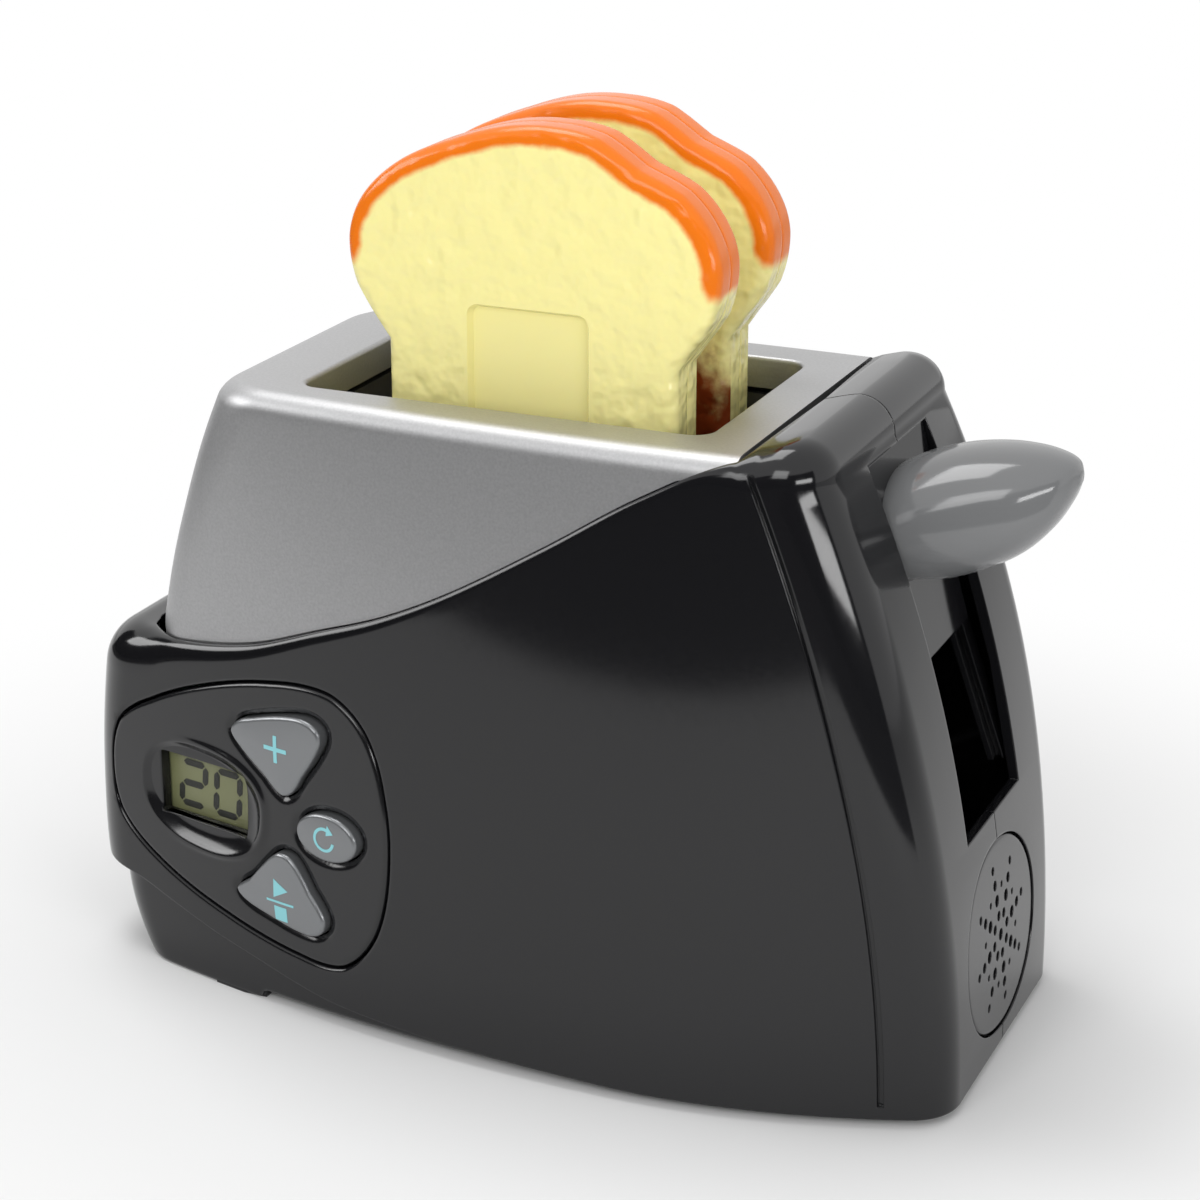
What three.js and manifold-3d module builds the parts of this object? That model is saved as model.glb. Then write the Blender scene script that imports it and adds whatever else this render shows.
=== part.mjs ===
// Toy toaster with two slices of toy bread, in millimetres, +Z up.
// The black casing is two moulded halves that meet on the plane y = 0. A silver upper shell drops
// into its S-shaped rim. A lever on the sloping end pushes a sprung carriage down a guide rod, where
// a hook that a magnet pulls over its tail holds it down until the time is up. Lengths in x are counted from the middle of the
// bread opening, and the finished group is moved so that its box is centred on the origin.
import * as THREE from 'three';
import { mergeVertices } from 'three/addons/utils/BufferGeometryUtils.js';
import Module from 'manifold-3d';

const wasm = await Module();
wasm.setup();

// Body: driving dimensions
const topHeight = 160;
const crestHeight = 164.3;
const halfWidth = 62.2;
const topTaper = 12;
const leftReach = 119.6;
const rightReach = 120.5;
const endLean = 35.8;
const widestX = 37;
const leftArcRadius = 476;
const rightArcRadius = 190;
const leftCorner = 17;
const rightCorner = 13;
const smallestCorner = 2;
const topRounding = 7;
const roundingTop = 165.5;
const wall = 2.5;
const clearance = 0.3;
const overrun = 20;
const underGap = 2;

// Silver upper shell and the bread opening
const openingHalfLength = 53;
const openingHalfWidth = 34;
const openingCorner = 5;
const lipDepth = 8;
const lipWall = 2;
const lipEdge = 0.8;
const silverWall = 2.2;
const silverInset = 1;
const silverLeftTop = 74.5;
const silverLeftLow = 98;
const silverRounding = 5;
const silverCorner = 17;
const silverEndGap = 5;
const skirtDepth = 4;
const skirtSet = 0.15;
const rimRounding = 9;
const rimGap = 0.4;
const endGap = 3.4;
const endGapStart = 90;
const endGapRun = 9;

// Column at the lever end
const columnX = 66;
const columnRise = 0.8;
const crestX = 78.5;
const crestRadius = 9;
const columnSkirt = 22;
const grooveWidth = 1.8;
const grooveDepth = 0.9;
const grooveTopOffset = 16.5;
const grooveLowOffset = 15;
const grooveEnd = 6;

// Shape tables: shares of the sizes named beside each one
// height as a share of topHeight, reach as a share of leftReach
const leftEndShares = [[-0.05, 0.95], [0.03, 0.965], [0.11, 0.98], [0.17, 0.995], [0.26, 1], [0.37, 0.996],
  [0.48, 0.98], [0.56, 0.957], [0.7, 0.91], [1.05, 0.8]];
// height as a share of topHeight, bow as a share of the widest bow
const leftBowShares = [[-0.1, 1], [0, 1], [0.36, 0.96], [0.56, 0.86], [1, 0.24], [1.1, 0.2]];
const rightBowShares = [[-0.1, 1], [0, 1], [0.3, 0.8], [0.62, 0.46], [1, 0.19], [1.1, 0.15]];
// place between the left end and the column, height as a share of topHeight
const rimShares = [[-0.1, 0.562], [0, 0.562], [0.16, 0.567], [0.3, 0.595], [0.42, 0.645], [0.52, 0.688],
  [0.62, 0.745], [0.75, 0.835], [0.88, 0.93], [1, 0.995], [1.1, 0.99], [2, 0.985]];
// place between the left end and the widest point, height as a share of sweepHeight
const sweepHeight = 25;
const sweepShares = [[-0.2, 1], [0, 0.99], [0.112, 0.916], [0.195, 0.77], [0.282, 0.61], [0.369, 0.48],
  [0.45, 0.35], [0.53, 0.25], [0.66, 0.185], [0.78, 0.155], [0.96, 0.13], [1.1, 0.11], [2.5, 0.11]];
const endCurve = 2.114;
const taperCurve = 1.6;

// Small helpers for numbers
const { PI, cos, sin, tan, atan2, hypot, max, min, abs, sqrt, sign } = Math;
const radians = THREE.MathUtils.degToRad;

// Smooth value between the rows of a two-column table
function tableValue(rows, t) {
  const last = rows.length - 2;
  let i = 0;
  while (i < last && t > rows[i + 1][0]) i += 1;
  const [t0, v0] = rows[i];
  const [t1, v1] = rows[i + 1];
  const [tb, vb] = rows[max(i - 1, 0)];
  const [ta, va] = rows[min(i + 2, rows.length - 1)];
  const span = t1 - t0;
  const k = min(max((t - t0) / span, 0), 1);
  const slopeStart = (v1 - vb) / (t1 - tb) * span;
  const slopeEnd = (va - v0) / (ta - t0) * span;
  const k2 = k * k;
  const k3 = k2 * k;
  return v0 * (2 * k3 - 3 * k2 + 1) + slopeStart * (k3 - 2 * k2 + k)
    + v1 * (3 * k2 - 2 * k3) + slopeEnd * (k3 - k2);
}

// Helpers for solids
function toSolid(geometry) {
  const bare = geometry.clone();
  bare.deleteAttribute('normal');
  bare.deleteAttribute('uv');
  const merged = mergeVertices(bare, mergeTolerance);
  const solid = new wasm.Manifold(new wasm.Mesh({
    numProp: 3,
    vertProperties: new Float32Array(merged.attributes.position.array),
    triVerts: new Uint32Array(merged.index.array),
  }));
  return solid;
}

function toGeometry(solid) {
  const mesh = solid.getMesh();
  const geometry = new THREE.BufferGeometry();
  geometry.setAttribute('position', new THREE.BufferAttribute(new Float32Array(mesh.vertProperties), 3));
  geometry.setIndex(new THREE.BufferAttribute(new Uint32Array(mesh.triVerts), 1));
  geometry.computeVertexNormals();
  return geometry;
}
const mergeTolerance = 1e-4;
const smallestStep = 0.05;

// The same solid with fewer triangles where it is nearly flat
const lighter = (solid) => toSolid(toGeometry(solid.simplify(smallestStep)));
const largestBody = (solid) => solid.decompose().reduce((a, b) => (a.volume() > b.volume() ? a : b));
const join = (...solids) => solids.reduce((whole, piece) => whole.add(piece));
const cut = (solid, ...tools) => tools.reduce((left, tool) => left.subtract(tool), solid);

function box(x0, x1, y0, y1, z0, z1) {
  const geometry = new THREE.BoxGeometry(x1 - x0, y1 - y0, z1 - z0);
  geometry.translate((x0 + x1) / 2, (y0 + y1) / 2, (z0 + z1) / 2);
  return toSolid(geometry);
}

// A prism whose outline lies in the local plane (a, b) and which runs along the third direction
function prism(points, from, to, aAxis, bAxis, alongAxis, origin = new THREE.Vector3()) {
  const shape = new THREE.Shape(points.map(([a, b]) => new THREE.Vector2(a, b)));
  const geometry = new THREE.ExtrudeGeometry(shape, { depth: to - from, bevelEnabled: false });
  geometry.translate(0, 0, from);
  geometry.applyMatrix4(new THREE.Matrix4().makeBasis(aAxis, bAxis, alongAxis).setPosition(origin));
  return toSolid(geometry);
}
const xAxis = new THREE.Vector3(1, 0, 0);
const yAxis = new THREE.Vector3(0, 1, 0);
const zAxis = new THREE.Vector3(0, 0, 1);
const prismX = (points, from, to) => prism(points, from, to, yAxis, zAxis, xAxis);
const prismY = (points, from, to) => prism(
  points.map(([x, z]) => [z, x]), from, to, zAxis, xAxis, yAxis);
const prismZ = (points, from, to) => prism(points, from, to, xAxis, yAxis, zAxis);

// A round bar from one point along a direction
function bar(radius, length, start, direction, sides = 16, endRadius = radius) {
  const geometry = new THREE.CylinderGeometry(endRadius, radius, length, sides);
  geometry.translate(0, length / 2, 0);
  geometry.applyQuaternion(new THREE.Quaternion().setFromUnitVectors(yAxis, direction));
  geometry.translate(start.x, start.y, start.z);
  return toSolid(geometry);
}
const at = (x, y, z) => new THREE.Vector3(x, y, z);

// A turned piece about the local Z axis
function turned(profile, sides = 24) {
  const geometry = new THREE.LatheGeometry(profile.map(([r, h]) => new THREE.Vector2(r, h)), sides);
  geometry.rotateX(PI / 2);
  return toSolid(geometry);
}

// Triangles that close a ring, turned along the ring's own order or against it
function capTriangles(ring, plane, along, base) {
  const [first, second] = { xy: [0, 1], xz: [2, 0], yz: [1, 2] }[plane];
  const flat = ring.map((point) => new THREE.Vector2(point[first], point[second]));
  const ringSign = sign(THREE.ShapeUtils.area(flat));
  return THREE.ShapeUtils.triangulateShape(flat, []).flatMap(([a, b, c]) => {
    const ordered = sign(THREE.ShapeUtils.area([flat[a], flat[b], flat[c]])) === ringSign;
    return ordered === along ? [base + a, base + b, base + c] : [base + a, base + c, base + b];
  });
}

// Skin between rings of points with equal counts, closed at both ends by flat caps
function loft(rings, capPlane = 'xy', closedRun = false) {
  const count = rings[0].length;
  const positions = rings.flat().flat();
  const triangles = [];
  const runs = closedRun ? rings.length : rings.length - 1;
  for (let r = 0; r < runs; r += 1) {
    const next = (r + 1) % rings.length;
    for (let i = 0; i < count; i += 1) {
      const j = (i + 1) % count;
      const a = r * count + i;
      const b = r * count + j;
      const c = next * count + j;
      const d = next * count + i;
      triangles.push(a, b, c, a, c, d);
    }
  }
  if (!closedRun) {
    const lastBase = (rings.length - 1) * count;
    triangles.push(...capTriangles(rings[0], capPlane, false, 0));
    triangles.push(...capTriangles(rings[rings.length - 1], capPlane, true, lastBase));
  }
  const geometry = new THREE.BufferGeometry();
  geometry.setAttribute('position', new THREE.BufferAttribute(new Float32Array(positions), 3));
  geometry.setIndex(triangles);
  return toSolid(geometry);
}

// Rounded polygon through corners, each corner an arc of the given radius
function roundedOutline(corners, radius, steps = 4) {
  const points = [];
  corners.forEach((corner, i) => {
    const here = new THREE.Vector2(...corner);
    const before = new THREE.Vector2(...corners[(i + corners.length - 1) % corners.length]).sub(here).normalize();
    const after = new THREE.Vector2(...corners[(i + 1) % corners.length]).sub(here).normalize();
    const half = Math.acos(min(max(before.dot(after), -1), 1)) / 2;
    const bisector = before.clone().add(after).normalize();
    const centre = here.clone().add(bisector.multiplyScalar(radius / sin(half)));
    const start = here.clone().add(before.multiplyScalar(radius / tan(half))).sub(centre);
    const end = here.clone().add(after.multiplyScalar(radius / tan(half))).sub(centre);
    const first = start.angle();
    let turn = end.angle() - first;
    if (turn > PI) turn -= 2 * PI;
    if (turn < -PI) turn += 2 * PI;
    for (let k = 0; k <= steps; k += 1) {
      const angle = first + turn * k / steps;
      points.push([centre.x + radius * cos(angle), centre.y + radius * sin(angle)]);
    }
  });
  return points;
}

function ellipseOutline(cx, cy, a, b, tilt = 0, sides = 32, power = 1) {
  return Array.from({ length: sides }, (_, i) => {
    const angle = 2 * PI * i / sides;
    const u = a * sign(cos(angle)) * abs(cos(angle)) ** power;
    const v = b * sign(sin(angle)) * abs(sin(angle)) ** power;
    return [cx + u * cos(tilt) - v * sin(tilt), cy + u * sin(tilt) + v * cos(tilt)];
  });
}

// Moves an outline outwards by a distance (inwards when negative)
function grown(points, distance) {
  const area = points.reduce((sum, [x, y], i) => {
    const [nx, ny] = points[(i + 1) % points.length];
    return sum + x * ny - nx * y;
  }, 0);
  const outward = sign(area) * distance;
  return points.map(([x, y], i) => {
    const [px, py] = points[(i + points.length - 1) % points.length];
    const [nx, ny] = points[(i + 1) % points.length];
    const edge = hypot(nx - px, ny - py);
    return [x + outward * (ny - py) / edge, y - outward * (nx - px) / edge];
  });
}

const counterClockwise = (points) => (
  THREE.ShapeUtils.area(points.map(([x, y]) => new THREE.Vector2(x, y))) > 0 ? points : points.slice().reverse());

function splineOutline(points, perPoint = 3) {
  const curve = new THREE.CatmullRomCurve3(points.map(([x, y]) => at(x, y, 0)), true, 'centripetal');
  return curve.getPoints(points.length * perPoint).slice(0, -1).map((p) => [p.x, p.y]);
}

// The outer form of the casing: one plan outline for every height
const frontReach = (z) => halfWidth - topTaper * (max(z, 0) / topHeight) ** taperCurve;
const rightEnd = (z) => rightReach - endLean * (max(z, 0) / topHeight) ** endCurve;
const leftEnd = (z) => leftReach * tableValue(leftEndShares, z / topHeight);
const leftBow = (z) => tableValue(leftBowShares, z / topHeight) / (2 * leftArcRadius);
const rightBow = (z) => tableValue(rightBowShares, z / topHeight) / (2 * rightArcRadius);
const cornerSteps = 4;
const frontSteps = 8;

// Half of a plan outline, from the middle of the left end round the front to the middle of the right end
function planHalf({ left, right, half, bowLeft, bowRight, cornerLeft, cornerRight, flat = false }) {
  const bow = (x) => (x < widestX ? bowLeft : bowRight);
  const front = (x) => (flat ? -half : -half + bow(x) * (x - widestX) ** 2);
  const slope = (x) => (flat ? 0 : 2 * bow(x) * (x - widestX));
  const corner = (endX, side, radius) => {
    const cx = endX + side * radius;
    let touch = cx;
    for (let i = 0; i < 6; i += 1) touch = cx + radius * slope(touch) / hypot(1, slope(touch));
    const cy = front(touch) + radius / hypot(1, slope(touch));
    const angle = 2 * PI + atan2(-1, slope(touch));
    return { cx, cy, angle, radius };
  };
  const a = corner(left, 1, cornerLeft);
  const b = corner(right, -1, cornerRight);
  const arc = (c, from, to) => Array.from({ length: cornerSteps + 1 }, (_, i) => {
    const angle = from + (to - from) * i / cornerSteps;
    return [c.cx + c.radius * cos(angle), c.cy + c.radius * sin(angle)];
  });
  const leftArc = arc(a, PI, a.angle);
  const rightArc = arc(b, b.angle, 2 * PI);
  const xa = leftArc[cornerSteps][0];
  const xb = rightArc[0][0];
  const between = Array.from({ length: frontSteps - 1 }, (_, i) => {
    const x = xa + (xb - xa) * (i + 1) / frontSteps;
    return [x, front(x)];
  });
  return [[left, 0], ...leftArc, ...between, ...rightArc, [right, 0]];
}
const wholeRing = (half, z) => [
  ...half.map(([x, y]) => [x, y, z]),
  ...half.slice(1, -1).reverse().map(([x, y]) => [x, -y, z]),
];

function casingPlan(z, inset = 0) {
  const over = z - (roundingTop - topRounding);
  const drop = over > 0 ? topRounding - sqrt(max(topRounding ** 2 - over ** 2, 0)) : 0;
  const d = inset + min(drop, topRounding);
  return planHalf({
    left: -leftEnd(z) + d,
    right: rightEnd(z) - d,
    half: frontReach(z) - d,
    bowLeft: leftBow(z),
    bowRight: rightBow(z),
    cornerLeft: max(leftCorner - d, smallestCorner),
    cornerRight: max(rightCorner - d, smallestCorner),
  });
}

// The silver shell's own plan outline, inside the casing's
const silverBow = 0.17 / (2 * leftArcRadius);
function silverPlan(z, inset = 0) {
  const over = z - (topHeight - silverRounding);
  const drop = over > 0 ? silverRounding - sqrt(max(silverRounding ** 2 - over ** 2, 0)) : 0;
  const d = inset + drop;
  const lowShare = tableValue(silverLeanShares, z / topHeight);
  return planHalf({
    left: -(silverLeftTop + (silverLeftLow - silverLeftTop) * lowShare) + d,
    right: rightEnd(z) - silverEndGap - d,
    half: frontReach(z) - silverInset - d,
    bowLeft: leftBow(z) + silverBow,
    bowRight: rightBow(z),
    cornerLeft: max(silverCorner - d, smallestCorner),
    cornerRight: max(rightCorner - d, smallestCorner),
  });
}
// height as a share of topHeight, share of the way from the top's left edge to the low one
const silverLeanShares = [[0.3, 1.02], [0.5, 1.005], [0.577, 0.985], [0.616, 0.93], [0.686, 0.8], [0.756, 0.645],
  [0.89, 0.32], [1, 0], [1.05, -0.15]];

const openingPlan = (inset = 0) => planHalf({
  left: -openingHalfLength - inset,
  right: openingHalfLength + inset,
  half: openingHalfWidth + inset,
  cornerLeft: openingCorner + inset,
  cornerRight: openingCorner + inset,
  flat: true,
});

const rimHeight = (x) => topHeight * tableValue(rimShares, (x + leftReach) / (columnX + leftReach));
const sweepEdge = (x) => sweepHeight * tableValue(sweepShares, (x + leftReach) / (widestX + leftReach));

// Height at which station i of a plan meets a height function of x
function meet(plan, i, heightAt, start) {
  let z = start;
  for (let k = 0; k < 8; k += 1) z = heightAt(plan(z)[i][0]);
  return z;
}

// Distance from a point along a direction to an open run of points
function reachTo(run, [px, py], [dx, dy]) {
  let best = Infinity;
  for (let i = 0; i + 1 < run.length; i += 1) {
    const [ax, ay] = run[i];
    const [bx, by] = run[i + 1];
    const det = dx * (ay - by) - dy * (ax - bx);
    if (abs(det) < 1e-9) continue;
    const t = ((ax - px) * (ay - by) - (ay - py) * (ax - bx)) / det;
    const k = (dx * (ay - py) - dy * (ax - px)) / det;
    if (t > 0 && k >= -0.001 && k <= 1.001) best = min(best, t);
  }
  return best;
}

// Stations of the rim: how far in the silver shell lies, and what the shoulder does there
const stationCount = casingPlan(0).length;
const rim = Array.from({ length: stationCount }, (_, i) => {
  const z = meet(casingPlan, i, rimHeight, topHeight / 2);
  const outer = casingPlan(z)[i];
  const inner = casingPlan(z, 1)[i];
  const run = silverPlan(z);
  const full = [...run, ...run.slice(0, -1).reverse().map(([x, y]) => [x, -y])];
  const reach = min(reachTo(full, outer, [inner[0] - outer[0], inner[1] - outer[1]]), maxShoulder());
  const open = min(max((-outer[0] - endGapStart) / endGapRun, 0), 1);
  const gap = rimGap + (endGap - rimGap) * open * open * (3 - 2 * open);
  const edge = max(reach - gap, wall);
  const round = max(min(edge - rimGap, rimRounding), rimGap * 2);
  return { z, edge, round };
});
function maxShoulder() {
  return leftReach - silverLeftTop;
}

// Casing wall as a run of closed sections round one half, with the rounded shoulder along its rim
const wallRows = 5;
const innerRows = 2;
const roundSteps = 3;
function casingWall() {
  const sections = rim.map((station, i) => {
    const low = max(meet(casingPlan, i, sweepEdge, underGap), underGap);
    const high = station.z - station.round;
    const point = (z, inset) => {
      const [x, y] = casingPlan(z, inset)[i];
      return [x, min(y, 0), z];
    };
    const section = [];
    for (let r = 0; r <= wallRows; r += 1) section.push(point(low + (high - low) * r / wallRows, 0));
    for (let r = 1; r <= roundSteps; r += 1) {
      const angle = PI / 2 * r / roundSteps;
      section.push(point(high + station.round * sin(angle), station.round * (1 - cos(angle))));
    }
    section.push(point(station.z, station.edge));
    const under = station.z - wall;
    section.push(point(under, station.edge));
    const slant = under - max(station.edge - wall, 0.2);
    for (let r = 0; r <= innerRows; r += 1) section.push(point(slant + (low - slant) * r / innerRows, wall));
    return section;
  });
  return loft(sections.map((section) => section.reverse()), 'xz');
}

// Solid that fills a plan outline between two heights
function planBlock(plan, heights, inset = 0) {
  return loft(heights.map((z) => wholeRing(plan(z, inset), z)));
}
const spread = (from, to, steps) => Array.from({ length: steps + 1 }, (_, i) => from + (to - from) * i / steps);
const casingHeights = [...spread(underGap, roundingTop - topRounding, 6),
  ...spread(roundingTop - topRounding, roundingTop, 3).slice(1)];
const casingBlock = planBlock(casingPlan, casingHeights);
const blockInside = (inset) => planBlock(casingPlan, [underGap - overrun, ...casingHeights].map((z) => (
  z > roundingTop - inset ? roundingTop - inset : z)).filter((z, i, all) => i === 0 || z > all[i - 1]), inset);

// The closed top of the column, as a side profile in x and z
function crestProfile(inset) {
  const radius = crestRadius - inset;
  const cz = crestHeight - crestRadius;
  const arc = spread(PI * 0.56, 0, 7).map((angle) => [crestX + radius * cos(angle), cz + radius * sin(angle)]);
  const low = topHeight - columnSkirt - (inset > 0 ? overrun : 0);
  const x0 = columnX + inset;
  return [
    [x0, low],
    [rightReach, low],
    [rightReach, cz - crestRadius],
    [crestX + radius + crestRadius / 3, cz - crestRadius],
    ...arc.reverse(),
    [x0, topHeight + columnRise - inset],
  ];
}
const frontHalf = box(-leftReach - overrun, rightReach + overrun, -halfWidth - overrun, 0, -overrun, crestHeight + overrun);
const insideBlock = blockInside(wall);
const column = casingBlock.intersect(prismY(crestProfile(0), -halfWidth, halfWidth))
  .subtract(insideBlock.intersect(prismY(crestProfile(wall), -halfWidth, halfWidth)));

// Lever path: a straight line that leans like the end face and clears its inner side
const slotHalfWidth = 21.5;
const slotTop = 153.3;
const slotBottom = 63;
const leverLean = radians(19.7);
const railTop = slotTop - 1;
const railBottom = slotBottom + 5;
const pathX = (() => {
  let reach = Infinity;
  for (const z of spread(railBottom, railTop, 24)) {
    reach = min(reach, rightEnd(z) - (wall + clearance * 2) / cos(leverLean) + tan(leverLean) * (z - railBottom));
  }
  return (z) => reach - tan(leverLean) * (z - railBottom);
})();
const downPath = at(sin(leverLean), 0, -cos(leverLean));
const outPath = at(cos(leverLean), 0, sin(leverLean));
// Prism across the width whose outline is given as height and distance inside the path line
const onPath = (z, depth) => [pathX(z) - depth * cos(leverLean), z - depth * sin(leverLean)];

// Casing groove that follows the column down both sides
const grooveX = (z) => rightEnd(z) - grooveLowOffset - (grooveTopOffset - grooveLowOffset) * (z / topHeight);
const grooveRun = spread(grooveEnd, topHeight - grooveEnd, 7);
const grooveShape = prismY([
  ...grooveRun.map((z) => [grooveX(z) - grooveWidth / 2, z]),
  ...grooveRun.slice().reverse().map((z) => [grooveX(z) + grooveWidth / 2, z]),
], -halfWidth - overrun, 0).subtract(blockInside(grooveDepth));

// Panel frame: a plane that lies along the front wall round the controls
const panelX = -60;
const panelZ = 55;
const panelTurn = radians(11.5);
const panelU = at(cos(panelTurn), -sin(panelTurn), 0);
const panelN = at(-sin(panelTurn), -cos(panelTurn), 0);
const frontY = (x, z) => -frontReach(z) + (x < widestX ? leftBow(z) : rightBow(z)) * (x - widestX) ** 2;
const panelOrigin = at(panelX, frontY(panelX, panelZ), panelZ);
const panelPrism = (points, from, to) => prism(points, from, to, panelU, zAxis, panelN, panelOrigin);
// Distance from the panel plane out to the casing surface at a place on the plane
function panelSurface(u, v) {
  let w = 0;
  for (let i = 0; i < 6; i += 1) {
    const p = panelOrigin.clone().addScaledVector(panelU, u).addScaledVector(zAxis, v).addScaledVector(panelN, w);
    w += (p.y - frontY(p.x, p.z)) * cos(panelTurn);
  }
  return w;
}
const panelWidth = 91;
const panelHeight = 74;
const panelGap = 0.6;
const panelFlange = 2.4;
const panelThickness = 1.6;
// shares of panelWidth and panelHeight
const leafShares = [[-0.568, -0.029], [-0.535, 0.135], [-0.403, 0.248], [-0.205, 0.355], [0.05, 0.437], [0.252, 0.441],
  [0.365, 0.33], [0.424, 0.13], [0.442, -0.1], [0.405, -0.357], [0.3, -0.51], [0.148, -0.516], [-0.13, -0.445],
  [-0.381, -0.335], [-0.535, -0.2]];
const leaf = splineOutline(leafShares.map(([u, v]) => [u * panelWidth, v * panelHeight]), 2);
const eyeWidth = 41;
const eyeHeight = 27;
const eyeCentre = [-0.214 * panelWidth, -0.05 * panelHeight];
const eyeTilt = radians(-3);
const eyeShape = (growth) => ellipseOutline(...eyeCentre, eyeWidth / 2 + growth, eyeHeight / 2 + growth, eyeTilt, 26, 0.8);
const glassWidth = 29.5;
const glassHeight = 17;
const glassCentre = [-0.214 * panelWidth, -0.043 * panelHeight];
const rectangle = ([cx, cy], width, height) => [
  [cx - width / 2, cy - height / 2],
  [cx + width / 2, cy - height / 2],
  [cx + width / 2, cy + height / 2],
  [cx - width / 2, cy + height / 2],
];

// Button outlines, in shares of panelWidth and panelHeight
const buttonProud = 1.7;
const buttonEdge = 0.9;
const buttonTravel = 1;
const buttonFlange = 1.1;
const onPanel = (shares) => shares.map(([u, v]) => [u * panelWidth, v * panelHeight]);
const addOutline = counterClockwise(splineOutline(onPanel([[-0.085, 0.24], [-0.063, 0.279], [-0.012, 0.304], [0.162, 0.352], [0.223, 0.327],
  [0.233, 0.277], [0.163, 0.134], [0.128, 0.07], [0.093, 0.052], [0.03, 0.112], [-0.049, 0.186]]), 2));
const startOutline = counterClockwise(splineOutline(onPanel([[0.088, -0.151], [0.134, -0.16], [0.197, -0.263], [0.248, -0.353],
  [0.237, -0.401], [0.195, -0.426], [0.054, -0.399], [-0.049, -0.359], [-0.067, -0.328], [-0.018, -0.278],
  [0.046, -0.19]]), 2));
const resetOutline = ellipseOutline(0.251 * panelWidth, -0.051 * panelHeight, 9.5, 6.3, radians(1), 22);

const panelLayer = casingBlock.subtract(blockInside(wall + clearance + panelThickness));
const flangeLayer = blockInside(wall + clearance).subtract(blockInside(wall + clearance + panelThickness));
const panelReach = overrun * 2;
const casingHole = panelPrism(grown(leaf, panelGap), -panelFlange * 4, panelReach);

// Screws: places on the side wall, and the posts that take them
const screwPlaces = [
  { x: -leftReach + 8, z: 76 },
  { x: -10, z: 50 },
  { x: 82, z: 52 },
  { x: columnX + 6, z: topHeight - 10 },
];
const postRadius = 3.6;
const screwRadius = 1.3;
const screwHole = 1.65;
const screwHeadRadius = 3;
const screwHeadHeight = 2;
const screwHeadDepth = 3.5;
const screwReach = 14;
const sideY = (x, z) => {
  const plan = casingPlan(z);
  const i = plan.findIndex(([px]) => px > x);
  const [ax, ay] = plan[i - 1];
  const [bx, by] = plan[i];
  return -(ay + (by - ay) * (x - ax) / (bx - ax));
};
const screwSeat = ({ x, z }) => sideY(x, z) - screwHeadDepth - screwHeadHeight;

// Base screws come up through the base into bosses on the casing halves
const baseScrewPlaces = [{ x: -92, y: 20, top: 37 }, { x: 92, y: 38, top: 20 }];
const baseFloor = 3;
const baseSkin = 1;
const bossWeb = 3;

// Grille hole in the lever end
const grilleY = -1;
const grilleZ = 31.5;
const grilleHalfWidth = 27.5;
const grilleHalfHeight = 24.3;
const grilleRecess = 0.5;
const grilleFlange = 1.4;
const grilleOutline = ellipseOutline(grilleY, grilleZ, grilleHalfWidth, grilleHalfHeight, radians(-8), 22, 0.94);
const grilleBack = rightEnd(grilleZ) - overrun;

const silver = lighter(silverShell());

function casingHalf(side) {
  const shell = join(casingWall(), column.intersect(frontHalf));
  let half = side > 0 ? shell.mirror([0, 1, 0]) : shell;
  const seam = side > 0 ? 0 : -halfWidth;
  const other = side > 0 ? halfWidth : 0;
  const posts = screwPlaces.map((place) => {
    const outerY = sideY(place.x, place.z) - wall / 2;
    return bar(postRadius, outerY, at(place.x, 0, place.z), at(0, side, 0), 10);
  });
  const bosses = baseScrewPlaces.flatMap(({ x, y, top }) => {
    const boss = bar(postRadius, top - baseFloor - clearance, at(x, side * y, baseFloor + clearance), zAxis, 10);
    const low = top - bossWeb * 2;
    if (x < 0) return [boss, box(-leftEnd(low) + wall / 2, x, side * y - bossWeb / 2, side * y + bossWeb / 2, low, top)];
    const wallY = sideY(x, low) - wall / 2;
    const near = side > 0 ? y : -wallY;
    const far = side > 0 ? wallY : -y;
    return [boss, box(x - bossWeb / 2, x + bossWeb / 2, near, far, low, top)];
  });
  half = join(half, ...posts, ...bosses);
  const slot = box(crestX + crestRadius / 2, rightReach + overrun, -slotHalfWidth, slotHalfWidth, slotBottom, slotTop);
  const groove = side > 0 ? grooveShape.mirror([0, 1, 0]) : grooveShape;
  half = cut(half, slot, groove, prismX(grown(grilleOutline, clearance), grilleBack, rightReach + overrun));
  baseScrewPlaces.forEach(({ x, y }) => {
    half = half.subtract(bar(screwHole, screwReach, at(x, side * y, baseFloor), zAxis, 8));
  });
  screwPlaces.forEach((place) => {
    if (side > 0) {
      const seat = screwSeat(place);
      half = cut(half,
        bar(screwHole, seat, at(place.x, 0, place.z), yAxis, 8),
        bar(screwHeadRadius + clearance, halfWidth, at(place.x, seat, place.z), yAxis, 12));
    } else {
      half = half.subtract(bar(screwHole, screwReach, at(place.x, -screwReach, place.z), yAxis, 8));
    }
  });
  const innerRoom = blockInside(wall);
  half = half.subtract(prismX(grown(grilleOutline, grilleFlange + clearance), grilleBack, rightReach + overrun).intersect(innerRoom));
  if (side < 0) {
    half = cut(half, casingHole,
      panelPrism(grown(leaf, panelFlange + clearance), -panelFlange * 4, panelReach).intersect(innerRoom));
  }
  half = lighter(half.intersect(box(-leftReach - overrun, rightReach + overrun, seam - (side > 0 ? 0 : overrun),
    other + (side > 0 ? overrun : 0), -overrun, crestHeight + overrun)));
  return largestBody(cut(half, silver, silver.translate([-clearance, side * rimGap, 0])));
}

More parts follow.
